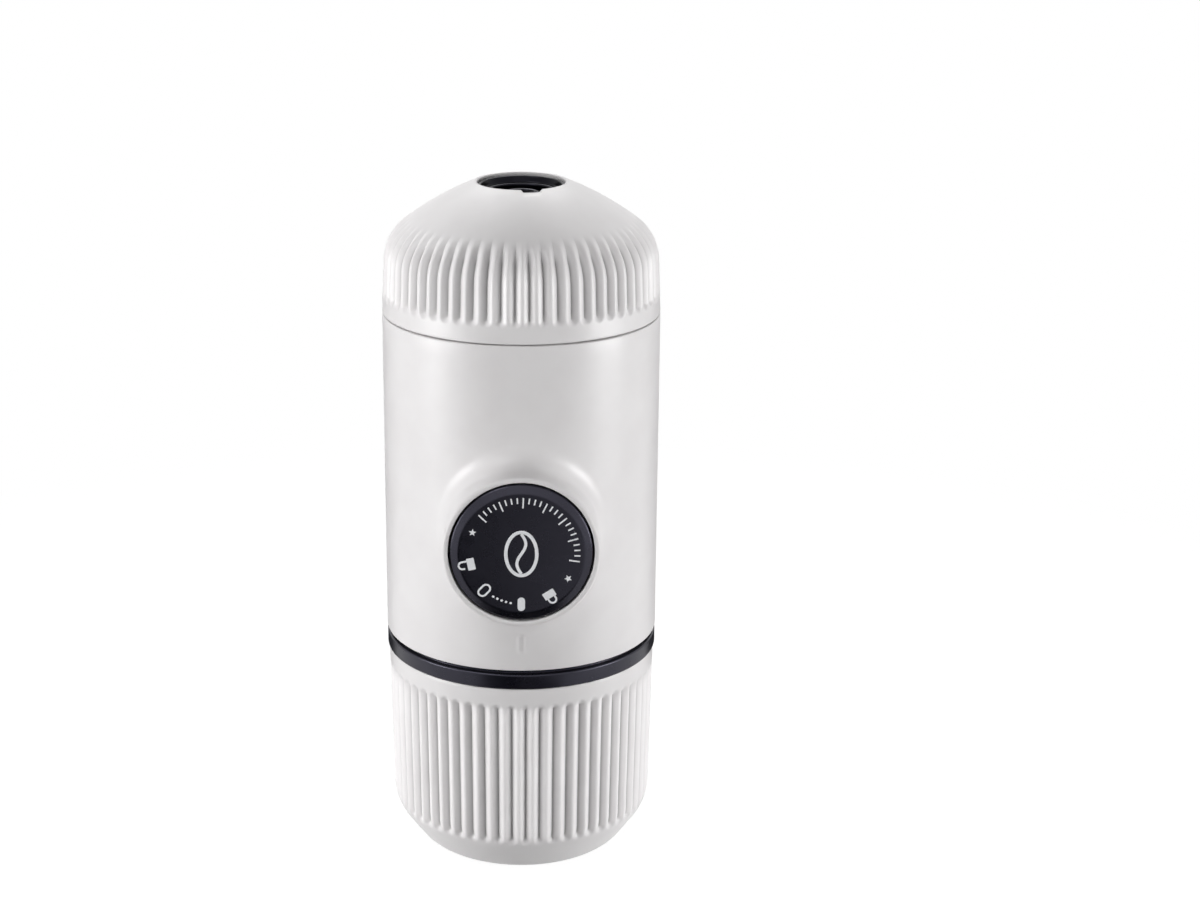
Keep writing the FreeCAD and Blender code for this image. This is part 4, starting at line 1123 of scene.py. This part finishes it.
FLOOR_HALF = 4.0  # metres
FLOOR_DROP = 0.0001  # metres below the part's base
FLOOR_GLOW = 1.3  # white of the floor near the part, mixed into what the lamps light
FLOOR_GLOW_SHARE = 0.7
FLOOR_FADE = (0.12, 0.3)  # metres from the axis over which the floor turns plain white
CARD_HEIGHT = 0.0002  # metres
CARD_STEPS = 16
CARDS = (  # first and last azimuth, near and far edge in metres
    (-30.0, 0.0, 0.045, 0.9),
    (0.0, 30.0, 0.045, 0.18),
    (0.0, 30.0, 0.4, 0.9),
    (125.0, 235.0, 0.045, 0.9),
)


def make_camera():
    camera = link(bpy.data.objects.new("camera", bpy.data.cameras.new("camera")))
    camera.data.lens = CAMERA_LENS
    camera.data.shift_x = (PICTURE_WIDTH / 2 - AXIS_X) / PICTURE_WIDTH
    camera.data.shift_y = CAMERA_LIFT
    camera.data.clip_start = 0.01
    camera.location = (0, -CAMERA_DISTANCE, CAMERA_HEIGHT)
    camera.rotation_euler = (radians(90 - CAMERA_PITCH), 0, 0)
    bpy.context.scene.camera = camera


def make_lamps():
    for name, azimuth, height, distance, width, tall, watts in LAMPS:
        light = bpy.data.lights.new(name, "AREA")
        light.shape = "RECTANGLE"
        light.size, light.size_y = width, tall
        light.energy = watts
        lamp = link(bpy.data.objects.new(name, light))
        turn = radians(azimuth)
        lamp.location = (sin(turn) * distance, -cos(turn) * distance, height)
        aim = Vector((0, 0, min(height, 0.2))) - lamp.location
        lamp.rotation_euler = aim.to_track_quat("-Z", "Y").to_euler()
        lamp.visible_camera = False


def seen_as_white(tree, shaded, white):
    """White for the camera and in reflections, the given shading for everything else."""
    path = add_node(tree, "ShaderNodeLightPath")
    seen = path["Is Camera Ray"]
    for ray in ("Is Glossy Ray", "Is Transmission Ray"):
        seen = add_node(tree, "ShaderNodeMath", {0: seen, 1: path[ray]}, operation="MAXIMUM")[0]
    return add_node(tree, "ShaderNodeMixShader", {"Fac": seen, 1: shaded, 2: white})[0]


def make_world():
    world = bpy.data.worlds.new("studio")
    bpy.context.scene.world = world
    world.use_nodes = True
    tree = world.node_tree
    tree.nodes.clear()
    ambient = add_node(tree, "ShaderNodeBackground", {"Color": (1, 1, 1, 1), "Strength": AMBIENT})[0]
    white = add_node(tree, "ShaderNodeBackground", {"Color": (1, 1, 1, 1), "Strength": 1.0})[0]
    add_node(tree, "ShaderNodeOutputWorld", {"Surface": seen_as_white(tree, ambient, white)})


def scenery(name, verts, faces, values):
    """A flat thing of the set, in metres, with its material's tree and shader."""
    mesh = bpy.data.meshes.new(name)
    mesh.from_pydata(verts, [], faces)
    material, tree, shader = new_material(name, values)
    mesh.materials.append(material)
    return link(bpy.data.objects.new(name, mesh)), tree, shader


def make_floor():
    """Lit paper that also glows near the part, and is plain white for the camera further away."""
    half = FLOOR_HALF
    corners = [(-half, -half, 0), (half, -half, 0), (half, half, 0), (-half, half, 0)]
    matt = {"Base Color": (0.5, 0.5, 0.5, 1), "Roughness": 0.9, "Specular IOR Level": 0.1}
    floor, tree, shader = scenery("floor", corners, [(0, 1, 2, 3)], matt)
    floor.location.z = -FLOOR_DROP
    matt["Base Color"] = (0.7, 0.7, 0.7, 1)
    paper = add_node(tree, "ShaderNodeBsdfPrincipled", matt)[0]
    glow = add_node(tree, "ShaderNodeEmission", {"Strength": FLOOR_GLOW})[0]
    near = add_node(tree, "ShaderNodeMixShader", {"Fac": FLOOR_GLOW_SHARE, 1: paper, 2: glow})[0]
    white = add_node(tree, "ShaderNodeEmission", {"Strength": 1.0})[0]
    spot = add_node(tree, "ShaderNodeNewGeometry")["Position"]
    distance = add_node(tree, "ShaderNodeVectorMath", {0: spot}, operation="LENGTH")["Value"]
    share = add_node(tree, "ShaderNodeMapRange", {
        "Value": distance, "From Min": FLOOR_FADE[0], "From Max": FLOOR_FADE[1]})["Result"]
    seen = add_node(tree, "ShaderNodeMixShader", {"Fac": share, 1: near, 2: white})[0]
    output = tree.nodes["Material Output"]
    tree.links.new(seen_as_white(tree, shader.outputs[0], seen), output.inputs["Surface"])


def make_card():
    """Black cards on the floor, in front and behind, which only reflections see: studio flags."""
    verts, faces = [], []
    for start, end, near, far in CARDS:
        for step in range(CARD_STEPS + 1):
            turn = radians(start + (end - start) * step / CARD_STEPS)
            places = put(verts, [upright(radius, turn, CARD_HEIGHT) for radius in (near, far)])
            if step:
                faces.append((*last, *reversed(places)))
            last = places
    card = scenery("card", verts, faces, {"Base Color": (0.004, 0.004, 0.005, 1), "Roughness": 1.0,
                                          "Specular IOR Level": 0.0})[0]
    card.visible_camera = False
    card.visible_diffuse = False
    card.visible_shadow = False


make_cup()
make_head()
make_body()
make_tank()
make_knob()
make_print()
make_outlet()
make_neck()
make_basket()
make_scoop()
for screen in SCREENS:
    make_screen(*screen)
make_seals()
make_springs()
make_screws()
dress_nodes()
make_camera()
make_lamps()
make_world()
make_floor()
make_card()
bpy.context.scene.view_settings.view_transform = "Standard"
